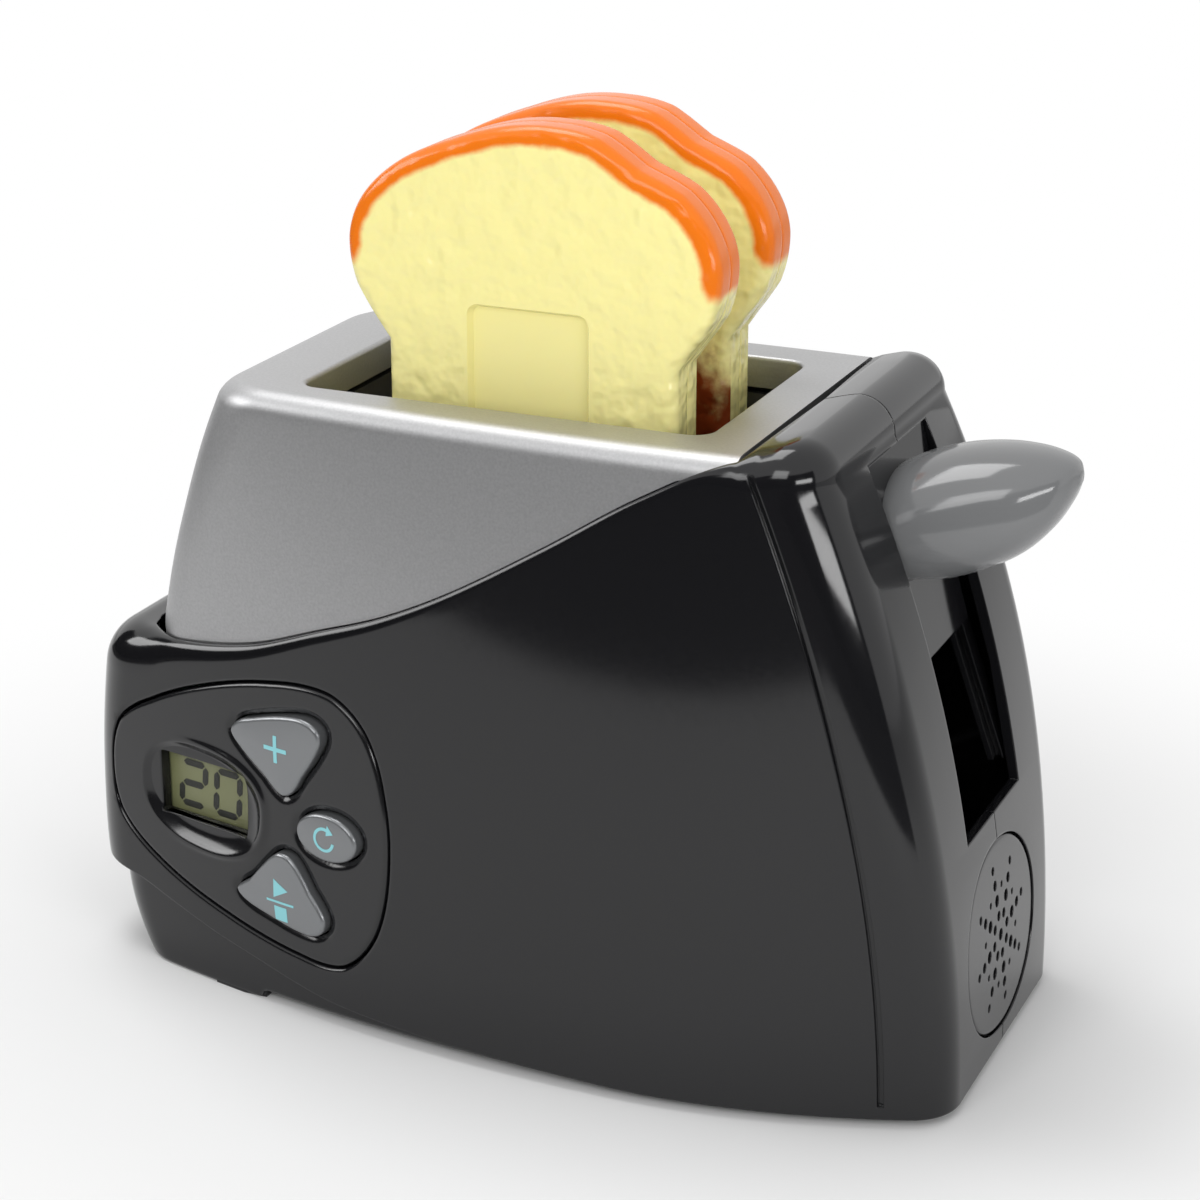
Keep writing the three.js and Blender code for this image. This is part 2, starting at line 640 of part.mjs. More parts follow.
// Silver upper shell: one closed section swept right round, cut off square at the column
function silverShell() {
  const half = silverPlan(topHeight).length;
  const lipBottom = topHeight - lipDepth;
  const sections = [];
  for (let i = 0; i < half; i += 1) {
    const low = meet(silverPlan, i, rimHeight, topHeight / 2);
    const own = silverPlan(low)[i];
    const within = silverPlan(low, 1)[i];
    const casingRun = casingPlan(low);
    const outline = [...casingRun, ...casingRun.slice(0, -1).reverse().map(([x, y]) => [x, -y])];
    const room = min(reachTo(outline, own, [own[0] - within[0], own[1] - within[1]]), maxShoulder());
    const skirt = max(wall + rimGap * 2 - room, skirtSet);
    const point = (z, inset) => [...silverPlan(z, inset)[i], z];
    const opening = (z, inset) => [...openingPlan(inset)[i], z];
    const section = [point(low - skirtDepth, skirt)];
    section.push(point(low + clearance, skirt));
    const edge = topHeight - silverRounding;
    const start = min(low + clearance, edge - 1);
    for (let r = 0; r <= 5; r += 1) section.push(point(start + (edge - start) * r / 5, 0));
    for (let r = 1; r <= roundSteps; r += 1) section.push(point(edge + silverRounding * sin(PI / 2 * r / roundSteps), 0));
    section.push(opening(topHeight, lipEdge), opening(topHeight - lipEdge, 0));
    section.push(opening(lipBottom, 0), opening(lipBottom, lipWall));
    const ceiling = topHeight - silverWall;
    section.push(opening(ceiling, lipWall));
    const inner = skirt + silverWall;
    section.push(point(min(ceiling, edge), inner), point((ceiling + low) / 2, inner), point(low - skirtDepth, inner));
    sections.push(section.reverse());
  }
  const back = sections.slice(1, -1).reverse().map((section) => section.map(([x, y, z]) => [x, -y, z]));
  const ring = loft([...sections, ...back], 'xy', true);
  const endX = columnX - clearance;
  const endHalf = frontReach(topHeight) - silverInset - silverWall - 1;
  const endPlate = box(endX - silverWall, endX, -endHalf, endHalf, topHeight - columnSkirt, topHeight - silverWall / 2);
  const keep = box(-leftReach, endX, -halfWidth, halfWidth, 0, topHeight + overrun);
  return join(ring, endPlate).intersect(keep);
}

// Toast chamber hung under the lip and standing on four posts of the base
const chamberHalfLength = 56;
const chamberHalfWidth = 37;
const chamberWall = 1.8;
const chamberTop = 150;
const chamberBottom = 70;
const tabSize = 6;
const rodX = 66;
const rodRadius = 2;
const rodBottom = 38;
const rodTop = 137;
const earThickness = 4;
const earHalfWidth = 7;

// Carriage and its travel
const leverTravel = 40.8;
const travel = leverTravel * cos(leverLean);
const breadBottom = 121;
const carriageTop = breadBottom - clearance;
const cradleFloor = 2.5;
const cradleLip = 2.6;
const blockBottom = 102;
const blockTop = 124;
const blockHalf = 4;
const armHalf = 4;
const armBottom = 112;
const pinX = 73.5;
const pinZ = 107;
const pinRadius = 1.8;
const linkPlay = 0.35;
const tailHalf = 2;
const tailMargin = 2.2;
const forkHalfGap = 2.6;
const forkCheek = 3;

// Bread slices
const sliceThickness = 16;
const sliceInnerY = 9;
const breadX = 3.9;
const capHalfWidth = 48;
const neckHeight = 172.5;
const capRise = 53;
const bodyHalfWidth = 37.6;
const crustEdge = 1.6;
const breadWall = 1.8;
const pocketLeft = -11.1;
const pocketRight = 18.7;
const pocketTop = 181.4;
const pocketDepth = 1.8;

function toastChamber() {
  const outer = box(-chamberHalfLength, chamberHalfLength, -chamberHalfWidth, chamberHalfWidth, chamberBottom, chamberTop);
  const inner = box(-chamberHalfLength + chamberWall, chamberHalfLength - chamberWall,
    -chamberHalfWidth + chamberWall, chamberHalfWidth - chamberWall, chamberBottom + chamberWall, chamberTop + overrun);
  const earX = rodX + blockHalf;
  const ear = box(chamberHalfLength - chamberWall, earX, -earHalfWidth, earHalfWidth, rodTop - earThickness - 2, rodTop - 2);
  const slot = box(chamberHalfLength - chamberWall * 2, chamberHalfLength + chamberWall, -armHalf - 0.8, armHalf + 0.8,
    armBottom - travel - 0.8, carriageTop + 0.8);
  const tabs = [];
  for (const sx of [-1, 1]) {
    for (const sy of [-1, 1]) {
      const x = sx * (openingHalfLength + lipWall / 2);
      const y = sy * (openingHalfWidth + lipWall / 2);
      tabs.push(box(x - chamberWall / 2 + sx * 0.9, x + chamberWall / 2 + sx * 0.9, y - tabSize / 2 - sy * 4, y + tabSize / 2 - sy * 4,
        chamberTop - tabSize, topHeight - lipDepth - clearance));
    }
  }
  return cut(join(outer.subtract(inner), ear, ...tabs), slot,
    bar(rodRadius + clearance, overrun, at(rodX, 0, rodTop - overrun / 2), zAxis, 20));
}

function carriage() {
  const cradles = [];
  const end = chamberHalfLength - chamberWall - 1.2;
  for (const sy of [-1, 1]) {
    const y = sy * (sliceInnerY + sliceThickness / 2);
    const outer = sliceThickness / 2 + 0.5 + 1;
    const x0 = breadX - bodyHalfWidth - 1.6;
    cradles.push(cut(box(x0, end, y - outer, y + outer, carriageTop - cradleFloor, carriageTop + cradleLip),
      box(x0 + 1, breadX + bodyHalfWidth + 0.6, y - outer + 1, y + outer - 1, carriageTop, carriageTop + overrun)));
    for (const x of [-0.6, -0.2, 0.2, 0.6]) {
      const hole = box(breadX + x * bodyHalfWidth - 4, breadX + x * bodyHalfWidth + 4, y - 4, y + 4, 0, topHeight);
      cradles[cradles.length - 1] = cradles[cradles.length - 1].subtract(hole);
    }
  }
  const crossY = sliceInnerY + sliceThickness;
  const cross = box(end - 4, end, -crossY, crossY, armBottom, carriageTop);
  const arm = box(end - 1, rodX, -armHalf, armHalf, armBottom, carriageTop);
  const block = box(rodX - blockHalf, rodX + blockHalf, -earHalfWidth, earHalfWidth, blockBottom, blockTop);
  const pinLow = pinX + leverTravel * sin(leverLean);
  const tailEnd = pinLow + pinRadius + tailMargin;
  const tail = box(rodX + blockHalf - 1, tailEnd, -tailHalf, tailHalf, pinZ - 5, pinZ + 6);
  const slotRadius = pinRadius + linkPlay;
  const slot = join(box(pinX, pinLow, -overrun, overrun, pinZ - slotRadius, pinZ + slotRadius),
    bar(slotRadius, overrun, at(pinX, -overrun / 2, pinZ), yAxis, 16),
    bar(slotRadius, overrun, at(pinLow, -overrun / 2, pinZ), yAxis, 16));
  return cut(join(...cradles, cross, arm, block, tail), slot,
    bar(rodRadius + clearance, overrun * 3, at(rodX, 0, blockBottom - overrun), zAxis, 20));
}

// Lever: slider plate in its rails, fork for the link pin, and the scoop-shaped knob
const plateTop = 152.5;
const plateBottom = 103;
const plateThickness = 3;
const tongue = 3;
const railWidth = 5;
const railWall = 1.4;
function leverSlider() {
  const face = prismY([onPath(plateBottom, 0), onPath(plateTop, 0), onPath(plateTop, plateThickness),
    onPath(plateBottom, plateThickness)], -slotHalfWidth + 0.5, slotHalfWidth - 0.5);
  const wings = prismY([onPath(plateBottom, 1), onPath(plateTop, 1), onPath(plateTop, plateThickness - 0.5),
    onPath(plateBottom, plateThickness - 0.5)], -slotHalfWidth - tongue, slotHalfWidth + tongue);
  const cheeks = [];
  for (const sy of [-1, 1]) {
    const y0 = sy > 0 ? forkHalfGap : -forkHalfGap - forkCheek;
    cheeks.push(prismY([[pinX - 3, pinZ - 2.4], [pinX - 1, pinZ - 4], [pinX + 4, pinZ - 5], onPath(pinZ - 2, plateThickness - 0.5),
      onPath(pinZ + 14, plateThickness - 0.5), [pinX + 4, pinZ + 6], [pinX - 1, pinZ + 4], [pinX - 3, pinZ + 2.4]],
    y0, y0 + forkCheek));
  }
  return cut(join(face, wings, ...cheeks), bar(pinRadius + 0.15, overrun, at(pinX, -overrun / 2, pinZ), yAxis, 16));
}

function leverRail(side) {
  const y0 = side * (slotHalfWidth + 0.6);
  const y1 = side * (slotHalfWidth + tongue + railWidth - 2);
  const lo = min(y0, y1);
  const hi = max(y0, y1);
  const whole = prismY([onPath(railBottom, 0.1), onPath(railTop, 0.1), onPath(railTop, plateThickness + railWall),
    onPath(railBottom, plateThickness + railWall)], lo, hi);
  const grooveHi = side * (slotHalfWidth + tongue + clearance);
  const grooveLo = y0 - side;
  const groove = prismY([onPath(railBottom - 5, 1 - clearance), onPath(railTop + 5, 1 - clearance),
    onPath(railTop + 5, plateThickness - 0.5 + clearance), onPath(railBottom - 5, plateThickness - 0.5 + clearance)],
  min(grooveHi, grooveLo), max(grooveHi, grooveLo));
  return whole.subtract(groove);
}

// Knob: cross-sections along x from the slider out to the tip, each an upright oval
const knobTipX = 132.3;
const knobTipZ = 151;
const knobHalfWidth = 20.2;
const knobRootTopZ = 144;
const knobRootLowZ = 121;
// place from root to tip, then height of the top and of the underside as shares between tip and root
const knobRows = [
  { t: 0, top: 141, low: 121.3, width: 1 },
  { t: 0.12, top: 146.5, low: 120.9, width: 1 },
  { t: 0.28, top: 151.3, low: 121.4, width: 0.985 },
  { t: 0.45, top: 154.3, low: 123, width: 0.95 },
  { t: 0.62, top: 155.8, low: 126.6, width: 0.87 },
  { t: 0.78, top: 156, low: 131.6, width: 0.74 },
  { t: 0.9, top: 155.2, low: 138.2, width: 0.54 },
  { t: 0.97, top: 153.8, low: 144.5, width: 0.33 },
];
function leverKnob() {
  const rootX = pathX(topHeight) - 2;
  const rings = knobRows.map(({ t, top, low, width }) => {
    const x = rootX + (knobTipX - rootX) * t;
    const mid = (top + low) / 2;
    const rise = (top - low) / 2;
    return ellipseOutline(0, mid, knobHalfWidth * width, rise, 0, 28, 0.85).map(([y, z]) => [x, y, z]);
  });
  const tip = knobRows[knobRows.length - 1];
  const mid = (tip.top + tip.low) / 2;
  rings.push(ellipseOutline(0, mid, knobHalfWidth * 0.1, 1.2, 0, 28, 0.85).map(([y, z]) => [knobTipX, y, z]));
  const whole = loft(rings, 'yz');
  const clear = prismY([onPath(slotBottom, -clearance), onPath(slotTop + overrun, -clearance),
    onPath(slotTop + overrun, overrun * 2), onPath(slotBottom, overrun * 2)], -halfWidth, halfWidth);
  return whole.subtract(clear);
}

// Bread: two half shells to a slice, parted in the middle of the crust
// across as a share of capHalfWidth, up as a share of capRise above the neck
const capShares = [[-1, 0.44], [-0.915, 0.63], [-0.7, 0.8], [-0.42, 0.91], [-0.14, 0.985], [0.12, 1], [0.36, 0.965],
  [0.57, 0.845], [0.79, 0.755], [0.94, 0.6], [1, 0.43], [0.955, 0.2], [0.85, 0.06]];
const capLowShares = [[-0.855, 0.06], [-0.96, 0.21]];
function breadOutline() {
  const toPoint = ([u, v]) => at(breadX + u * capHalfWidth, neckHeight + v * capRise, 0);
  const curve = new THREE.CatmullRomCurve3([...capLowShares, ...capShares].map(toPoint), false, 'centripetal');
  const cap = curve.getPoints(24).map((p) => [p.x, p.y]);
  const bodyCorner = 4;
  const low = roundedOutline([[breadX + bodyHalfWidth, neckHeight], [breadX + bodyHalfWidth, breadBottom],
    [breadX - bodyHalfWidth, breadBottom], [breadX - bodyHalfWidth, neckHeight]], bodyCorner, 3).slice(4, 12);
  return [...cap, [breadX + bodyHalfWidth, neckHeight - 1.5], ...low, [breadX - bodyHalfWidth, neckHeight - 1.5]];
}
function slicePair(innerY) {
  const outline = breadOutline();
  const nearY = innerY;
  const farY = innerY + sliceThickness;
  const middle = (nearY + farY) / 2;
  const rounded = (inset) => {
    const face = grown(outline, -inset - crustEdge);
    const full = grown(outline, -inset);
    const ring = (points, y) => points.map(([x, z]) => [x, y, z]);
    return loft([ring(face, nearY + inset), ring(full, nearY + inset + crustEdge), ring(full, farY - inset - crustEdge),
      ring(face, farY - inset)], 'xz');
  };
  const pocket = (depth) => box(pocketLeft - (pocketDepth - depth), pocketRight + (pocketDepth - depth), nearY - overrun,
    nearY + depth, breadBottom - overrun, pocketTop + (pocketDepth - depth));
  const pocketFloor = box(pocketLeft - breadWall, pocketRight + breadWall, nearY, nearY + pocketDepth + breadWall,
    breadBottom, pocketTop + breadWall);
  const solid = rounded(0).subtract(pocket(pocketDepth));
  const hollow = rounded(breadWall).subtract(pocketFloor);
  const shell = solid.subtract(hollow);
  const wide = capHalfWidth * 2;
  const near = shell.intersect(box(-wide, wide, nearY - overrun, middle, 0, crestHeight * 2));
  const far = shell.intersect(box(-wide, wide, middle, farY + overrun, 0, crestHeight * 2));
  return [near, far];
}

// Springs: a round wire along a helix, with flat-ish end coils
function spring(radius, wire, bottom, top, turns, x, y) {
  const steps = turns * 7;
  const sides = 4;
  const rings = spread(0, 1, steps).map((t) => {
    const angle = 2 * PI * turns * t;
    const cx = x + radius * cos(angle);
    const cy = y + radius * sin(angle);
    const cz = bottom + wire + (top - bottom - wire * 2) * t;
    return Array.from({ length: sides }, (_, i) => {
      const phi = -2 * PI * i / sides;
      const out = wire * cos(phi);
      return [cx + out * cos(angle), cy + out * sin(angle), cz + wire * sin(phi)];
    });
  });
  return loft(rings, 'xz');
}

// Base: floor plate, wall under the cover's swept edge, feet, towers and battery bay
const baseInset = 4.4;
const baseWall = 2;
const baseLeft = 112;
const baseLeftFoot = 103.5;
const baseLap = 2.5;
const footHeight = 6;
const bayX0 = -33;
const bayX1 = 30;
const bayHalf = 22;
const bayTop = 22;
const bayWall = 1.8;
const doorThickness = 2;
const cellRadius = 7.25;
const cellLength = 50.5;
const cellY = 8.2;
const cellX = -23.5;
const cellZ = baseSkin + doorThickness + clearance + cellRadius + 0.3;
const towerX = 45;
const towerY = 28;
const towerRadius = 4;
const rodTower = 46;
const latchX = 95.5;
const latchZ = 26;
const latchPin = 1;
const latchHalf = 2;

function basePlan(z, inset = 0) {
  const lean = (baseLeft - baseLeftFoot) * (1 - min(max(z, 0) / sweepHeight, 1)) ** 2;
  const d = baseInset + inset;
  return planHalf({
    left: -baseLeft + lean + inset,
    right: rightEnd(z) - d,
    half: frontReach(z) - d,
    bowLeft: leftBow(z),
    bowRight: rightBow(z),
    cornerLeft: leftCorner - baseInset - inset,
    cornerRight: max(rightCorner - d, smallestCorner),
  });
}
function lowerBase() {
  const half = basePlan(0).length;
  const sections = [];
  for (let i = 0; i < half; i += 1) {
    const top = max(meet(basePlan, i, sweepEdge, sweepHeight / 2) + baseLap, baseFloor + 1.6);
    const point = (z, inset) => [...basePlan(z, inset)[i], z];
    const section = [0, 0.33, 0.67, 1].map((t) => point(baseSkin + (top - baseSkin) * t, 0));
    section.push(point(top, baseWall), point((top + baseSkin) / 2, baseWall), point(baseSkin, baseWall));
    sections.push(section.reverse());
  }
  const back = sections.slice(1, -1).reverse().map((section) => section.map(([x, y, z]) => [x, -y, z]));
  const wallRing = loft([...sections, ...back], 'xy', true);
  const floor = planBlock(basePlan, [baseSkin, baseFloor], 0);
  const bay = box(bayX0, bayX1, -bayHalf, bayHalf, baseSkin, bayTop);
  const bayInside = box(bayX0 + bayWall, bayX1 - bayWall, -bayHalf + bayWall, bayHalf - bayWall, -overrun, bayTop - bayWall);
  const posts = [];
  const feet = [];
  for (const sy of [-1, 1]) {
    posts.push(bar(towerRadius, chamberBottom - clearance - baseSkin, at(-towerX, sy * towerY, baseSkin), zAxis, 10));
    posts.push(bar(towerRadius, chamberBottom - clearance - baseSkin, at(towerX, sy * towerY, baseSkin), zAxis, 10));
    for (const [x, outY] of [[-68, sideY(-68, footHeight) - 0.6], [96, sideY(96, underGap) - baseInset - 3]]) {
      const y1 = outY;
      const y0 = outY - 14;
      feet.push(prismX([[sy * y0, 0], [sy * y1, 0], [sy * y1, x < 0 ? footHeight - 1 : baseSkin + 1],
        [sy * (y1 - 1.5), x < 0 ? footHeight : baseSkin + 1.4], [sy * y0, x < 0 ? footHeight : baseSkin + 1.4]], x - 8, x + 8));
    }
    const cheek0 = sy > 0 ? latchHalf + 1 : -latchHalf - 1 - 2.5;
    posts.push(box(latchX - 4, latchX + 4, cheek0, cheek0 + 2.5, baseSkin, latchZ + 4));
  }
  const rodPost = bar(towerRadius + 1, rodTower - baseSkin, at(rodX, 0, baseSkin), zAxis, 20);
  const speakerRib = box(speakerBack + 2, speakerBack + 5, -12, 12, baseSkin, grilleZ - speakerRadius * 0.55);
  const magnetRib = box(magnetX0 + 4, magnetX0 + 8, -6, 6, baseSkin, magnetZ - 2);
  let base = join(wallRing, floor, bay, ...posts, ...feet, rodPost, speakerRib, magnetRib);
  base = cut(base, bayInside,
    bar(rodRadius + clearance, rodTower, at(rodX, 0, rodBottom - clearance), zAxis, 20),
    bar(latchPin + 0.15, overrun * 2, at(latchX, -overrun, latchZ), yAxis, 14),
    bar(speakerRadius + clearance, overrun, at(speakerBack - clearance, grilleY, grilleZ), xAxis, 32),
    bar(coilRadius + clearance, magnetLength + 2, at(magnetX0 - 1, 0, magnetZ), xAxis, 24));
  baseScrewPlaces.forEach(({ x, y }) => {
    for (const sy of [-1, 1]) {
      base = cut(base, bar(screwHole, overrun, at(x, sy * y, -1), zAxis, 12),
        bar(screwHeadRadius + clearance, baseSkin + 0.8 + 1, at(x, sy * y, -1), zAxis, 16));
    }
  });
  return base.subtract(bar(screwHole, overrun, at(bayX1 + 6, 0, -1), zAxis, 8)).simplify(smallestStep);
}

// Speaker and magnet sizes
const speakerRadius = 20;
const speakerBack = 101;
const magnetX0 = 72;
const magnetZ = 40;
const magnetRadius = 7;
const magnetLength = 19;
const magnetFlange = 1.5;
const coilRadius = 5.8;

// Materials, with colours read off the photograph
const gloss = (color, roughness = 0.25) => new THREE.MeshStandardMaterial({ color, roughness, metalness: 0 });
const metal = (color, roughness = 0.35) => new THREE.MeshStandardMaterial({ color, roughness, metalness: 1 });
const finishes = {
  black: gloss('#2a2a2e', 0.18),
  panel: gloss('#333437', 0.25),
  silver: metal('#a8a7a8', 0.42),
  button: metal('#929496', 0.38),
  knob: gloss('#6f7070', 0.15),
  bread: gloss('#f3e795', 0.45),
  rear: gloss('#efdc80', 0.45),
  glass: new THREE.MeshStandardMaterial({ color: '#9aa08a', roughness: 0.05, transparent: true, opacity: 0.3 }),
  lcd: gloss('#73765a', 0.5),
  inside: gloss('#39393b', 0.6),
  steel: metal('#b9bbbd', 0.3),
  board: gloss('#2d5a3c', 0.5),
  rubber: gloss('#55585a', 0.9),
  coil: gloss('#9a5a2e', 0.4),
  cell: gloss('#8f9aa2', 0.4),
};

const toaster = new THREE.Group();
toaster.name = 'toy_toaster';
function add(name, solid, material, parent = toaster) {
  const mesh = new THREE.Mesh(toGeometry(solid), material);
  mesh.name = name;
  parent.add(mesh);
  return mesh;
}

// Housing
add('front_casing', casingHalf(-1), finishes.black);
add('rear_casing', casingHalf(1), finishes.black);
add('upper_shell', silver, finishes.silver);
add('lower_base', lowerBase(), finishes.black);

// Fasteners
screwPlaces.forEach((place, i) => {
  const seat = screwSeat(place);
  const length = seat + screwReach - clearance * 4;
  const screw = join(bar(screwRadius, length, at(place.x, seat - length + 0.5, place.z), yAxis, 8),
    bar(screwHeadRadius, screwHeadHeight, at(place.x, seat + clearance, place.z), yAxis, 12));
  const slotCut = box(place.x - screwHeadRadius / 2, place.x + screwHeadRadius / 2, seat + 1.4, seat + overrun,
    place.z - 0.4, place.z + 0.4);
  const crossCut = box(place.x - 0.4, place.x + 0.4, seat + 1.4, seat + overrun,
    place.z - screwHeadRadius / 2, place.z + screwHeadRadius / 2);
  add(`casing_screw_${i + 1}`, cut(screw, slotCut, crossCut), finishes.steel);
});
let baseScrewNumber = 0;
baseScrewPlaces.forEach(({ x, y }) => {
  for (const sy of [-1, 1]) {
    baseScrewNumber += 1;
    const head = bar(screwHeadRadius, 1, at(x, sy * y, baseSkin + 0.8 - clearance - 1 + 0.1), zAxis, 12);
    const shank = bar(screwRadius, screwReach - clearance * 3, at(x, sy * y, baseSkin), zAxis, 8);
    const cross = join(box(x - 1.5, x + 1.5, sy * y - 0.4, sy * y + 0.4, -overrun, baseSkin),
      box(x - 0.4, x + 0.4, sy * y - 1.5, sy * y + 1.5, -overrun, baseSkin));
    add(`base_screw_${baseScrewNumber}`, cut(join(head, shank), cross), finishes.steel);
  }
});

// Controls
const holes = [eyeShape(0), grown(addOutline, 0.45), grown(resetOutline, 0.45), grown(startOutline, 0.45)];
const panelPlate = join(panelPrism(leaf, -panelReach, panelReach).intersect(panelLayer),
  panelPrism(grown(leaf, panelFlange), -panelReach, panelReach).intersect(flangeLayer));
add('control_panel', cut(panelPlate, ...holes.map((hole) => panelPrism(hole, -panelReach, panelReach)))
  .simplify(smallestStep), finishes.panel);

const panelBack = wall + clearance + panelThickness;
const bezelTop = -2;
const bezelThickness = 3.4;
const windowThickness = 0.8;
add('lcd_bezel', cut(panelPrism(eyeShape(-clearance), bezelTop - bezelThickness, bezelTop),
  panelPrism(rectangle(glassCentre, glassWidth, glassHeight), -panelReach, panelReach)), finishes.black);
add('lcd_window', panelPrism(rectangle(glassCentre, glassWidth - clearance, glassHeight - clearance),
  bezelTop - bezelThickness + 0.1, bezelTop - bezelThickness + 0.1 + windowThickness), finishes.glass);
const moduleTop = bezelTop - bezelThickness - clearance;
const padThickness = 1.6;
const boardThickness = 1.6;

const buttonSpecs = [
  { name: 'add_button', outline: addOutline },
  { name: 'reset_button', outline: resetOutline },
  { name: 'start_button', outline: startOutline },
];
const shrunk = (points, share) => {
  const [cx, cy] = centreOf(points);
  return points.map(([x, y]) => [cx + (x - cx) * share, cy + (y - cy) * share]);
};
const centreOf = (points) => points.reduce(([a, b], [x, y]) => [a + x / points.length, b + y / points.length], [0, 0]);
const flangeDepths = buttonSpecs.map(({ outline }) => panelSurface(...centreOf(outline)) - panelBack - 1.3);
const padTop = min(...flangeDepths) - buttonFlange - buttonTravel - clearance;
buttonSpecs.forEach(({ name, outline }, i) => {
  const face = panelSurface(...centreOf(outline)) + buttonProud;
  const lowest = flangeDepths[i];
  const ring = (points, w) => points.map(([u, v]) => panelOrigin.clone().addScaledVector(panelU, u)
    .addScaledVector(zAxis, v).addScaledVector(panelN, w).toArray());
  const cap = loft([ring(outline, lowest), ring(outline, face - buttonEdge), ring(shrunk(outline, 0.95), face - 0.3),
    ring(shrunk(outline, 0.86), face + 0.1), ring(shrunk(outline, 0.7), face + 0.3)], 'xz');
  const flange = panelPrism(grown(outline, 1.3), lowest - buttonFlange, lowest);
  add(name, join(cap, flange), finishes.button);
});
const padOutline = rectangle([0.16 * panelWidth, -0.04 * panelHeight], 34, 58);
add('button_pad', panelPrism(padOutline, padTop - padThickness, padTop), finishes.rubber);
const boardTop = padTop - padThickness - clearance;
add('timer_board', panelPrism(rectangle([-0.03 * panelWidth, -0.04 * panelHeight], 68, 56), boardTop - boardThickness, boardTop), finishes.board);
add('lcd_display', panelPrism(rectangle(glassCentre, glassWidth + 1, glassHeight + 3), boardTop + clearance, moduleTop),
  finishes.lcd);

// Speaker behind its grille
const grilleFront = blockInside(grilleRecess).subtract(blockInside(wall + clearance + panelThickness));
let grille = join(prismX(grilleOutline, grilleBack, rightReach + overrun).intersect(grilleFront),
  prismX(grown(grilleOutline, grilleFlange), grilleBack, rightReach + overrun).intersect(flangeLayer));
const starArms = 8;
const starRows = [[5.4, 1.3], [9.8, 1.55], [14.2, 1.35], [18.4, 1.1]];
const betweenRows = [[12.6, 0.85]];
const grilleHole = (reach, radius, angle) => bar(radius, overrun * 2,
  at(grilleBack, grilleY + reach * cos(angle), grilleZ + reach * sin(angle)), xAxis, 6);
const holeTools = [grilleHole(0, starRows[1][1], 0)];
for (let arm = 0; arm < starArms; arm += 1) {
  const angle = 2 * PI * arm / starArms + radians(11);
  holeTools.push(...starRows.map(([reach, radius]) => grilleHole(reach, radius, angle)));
  holeTools.push(...betweenRows.map(([reach, radius]) => grilleHole(reach, radius, angle + PI / starArms)));
}
grille = cut(grille, ...holeTools).simplify(smallestStep);
add('speaker_grille', grille, finishes.panel);
const speakerFront = rightEnd(grilleZ + speakerRadius) - panelBack - clearance - 0.2;
const speakerDepth = speakerFront - speakerBack;
const speaker = turned([[0, 0], [9, 0], [9, speakerDepth * 0.45], [12, speakerDepth * 0.5], [speakerRadius - 1, speakerDepth * 0.85],
  [speakerRadius, speakerDepth * 0.85], [speakerRadius, speakerDepth], [speakerRadius - 2, speakerDepth],
  [speakerRadius - 6, speakerDepth * 0.72], [6, speakerDepth * 0.6], [4, speakerDepth * 0.72], [0, speakerDepth * 0.76]], 28);
const speakerGeometry = toGeometry(speaker);
speakerGeometry.applyMatrix4(new THREE.Matrix4().makeBasis(zAxis, yAxis.clone().negate(), xAxis)
  .setPosition(speakerBack, grilleY, grilleZ));
add('speaker', toSolid(speakerGeometry), finishes.inside);

// Lever, rails and pin
add('front_lever_rail', leverRail(-1), finishes.inside);
add('rear_lever_rail', leverRail(1), finishes.inside);
add('lever_slider', leverSlider(), finishes.inside);
add('lever_knob', leverKnob(), finishes.knob);
const pinHalf = forkHalfGap + forkCheek + 0.6;
add('lever_pin', bar(pinRadius, pinHalf * 2, at(pinX, -pinHalf, pinZ), yAxis, 16), finishes.steel);

// Carriage, rod and spring
add('bread_carriage', carriage(), finishes.steel);
add('toast_chamber', toastChamber(), finishes.inside);
add('guide_rod', bar(rodRadius, rodTop - rodBottom, at(rodX, 0, rodBottom), zAxis, 20), finishes.steel);
add('return_spring', spring(rodRadius + 1.4, 0.5, rodTower + clearance, blockBottom - clearance, 8, rodX, 0), finishes.steel);

// Latch, its pin and the magnet that holds it over the carriage's tail
const tailTopLow = pinZ + 6 - travel;
const noseZ = tailTopLow + 1;
const hook = prismY([[latchX - 2, latchZ - 5], [latchX + 2, latchZ - 5], [latchX + 3, latchZ], [latchX + 2.4, noseZ + 4],
  [latchX - 1.6, noseZ + 4], [latchX - 2.8, noseZ], [latchX + 0.2, noseZ - 0.1], [latchX - 2.4, latchZ + 4], [latchX - 3, latchZ]],
-latchHalf, latchHalf).subtract(bar(latchPin + 0.25, overrun, at(latchX, -overrun / 2, latchZ), yAxis, 14));
add('latch_hook', hook, finishes.steel);
add('latch_pin', bar(latchPin, 13, at(latchX, -6.5, latchZ), yAxis, 14), finishes.steel);
const magnet = turned([[0, 0], [magnetRadius, 0], [magnetRadius, magnetFlange], [coilRadius, magnetFlange],
  [coilRadius, magnetLength - magnetFlange], [magnetRadius, magnetLength - magnetFlange], [magnetRadius, magnetLength],
  [2.5, magnetLength], [2.5, magnetLength + 1.2], [0, magnetLength + 1.2]], 24);
const magnetGeometry = toGeometry(magnet);
magnetGeometry.applyMatrix4(new THREE.Matrix4().makeBasis(zAxis, yAxis.clone().negate(), xAxis).setPosition(magnetX0, 0, magnetZ));
add('latch_magnet', toSolid(magnetGeometry), finishes.coil);

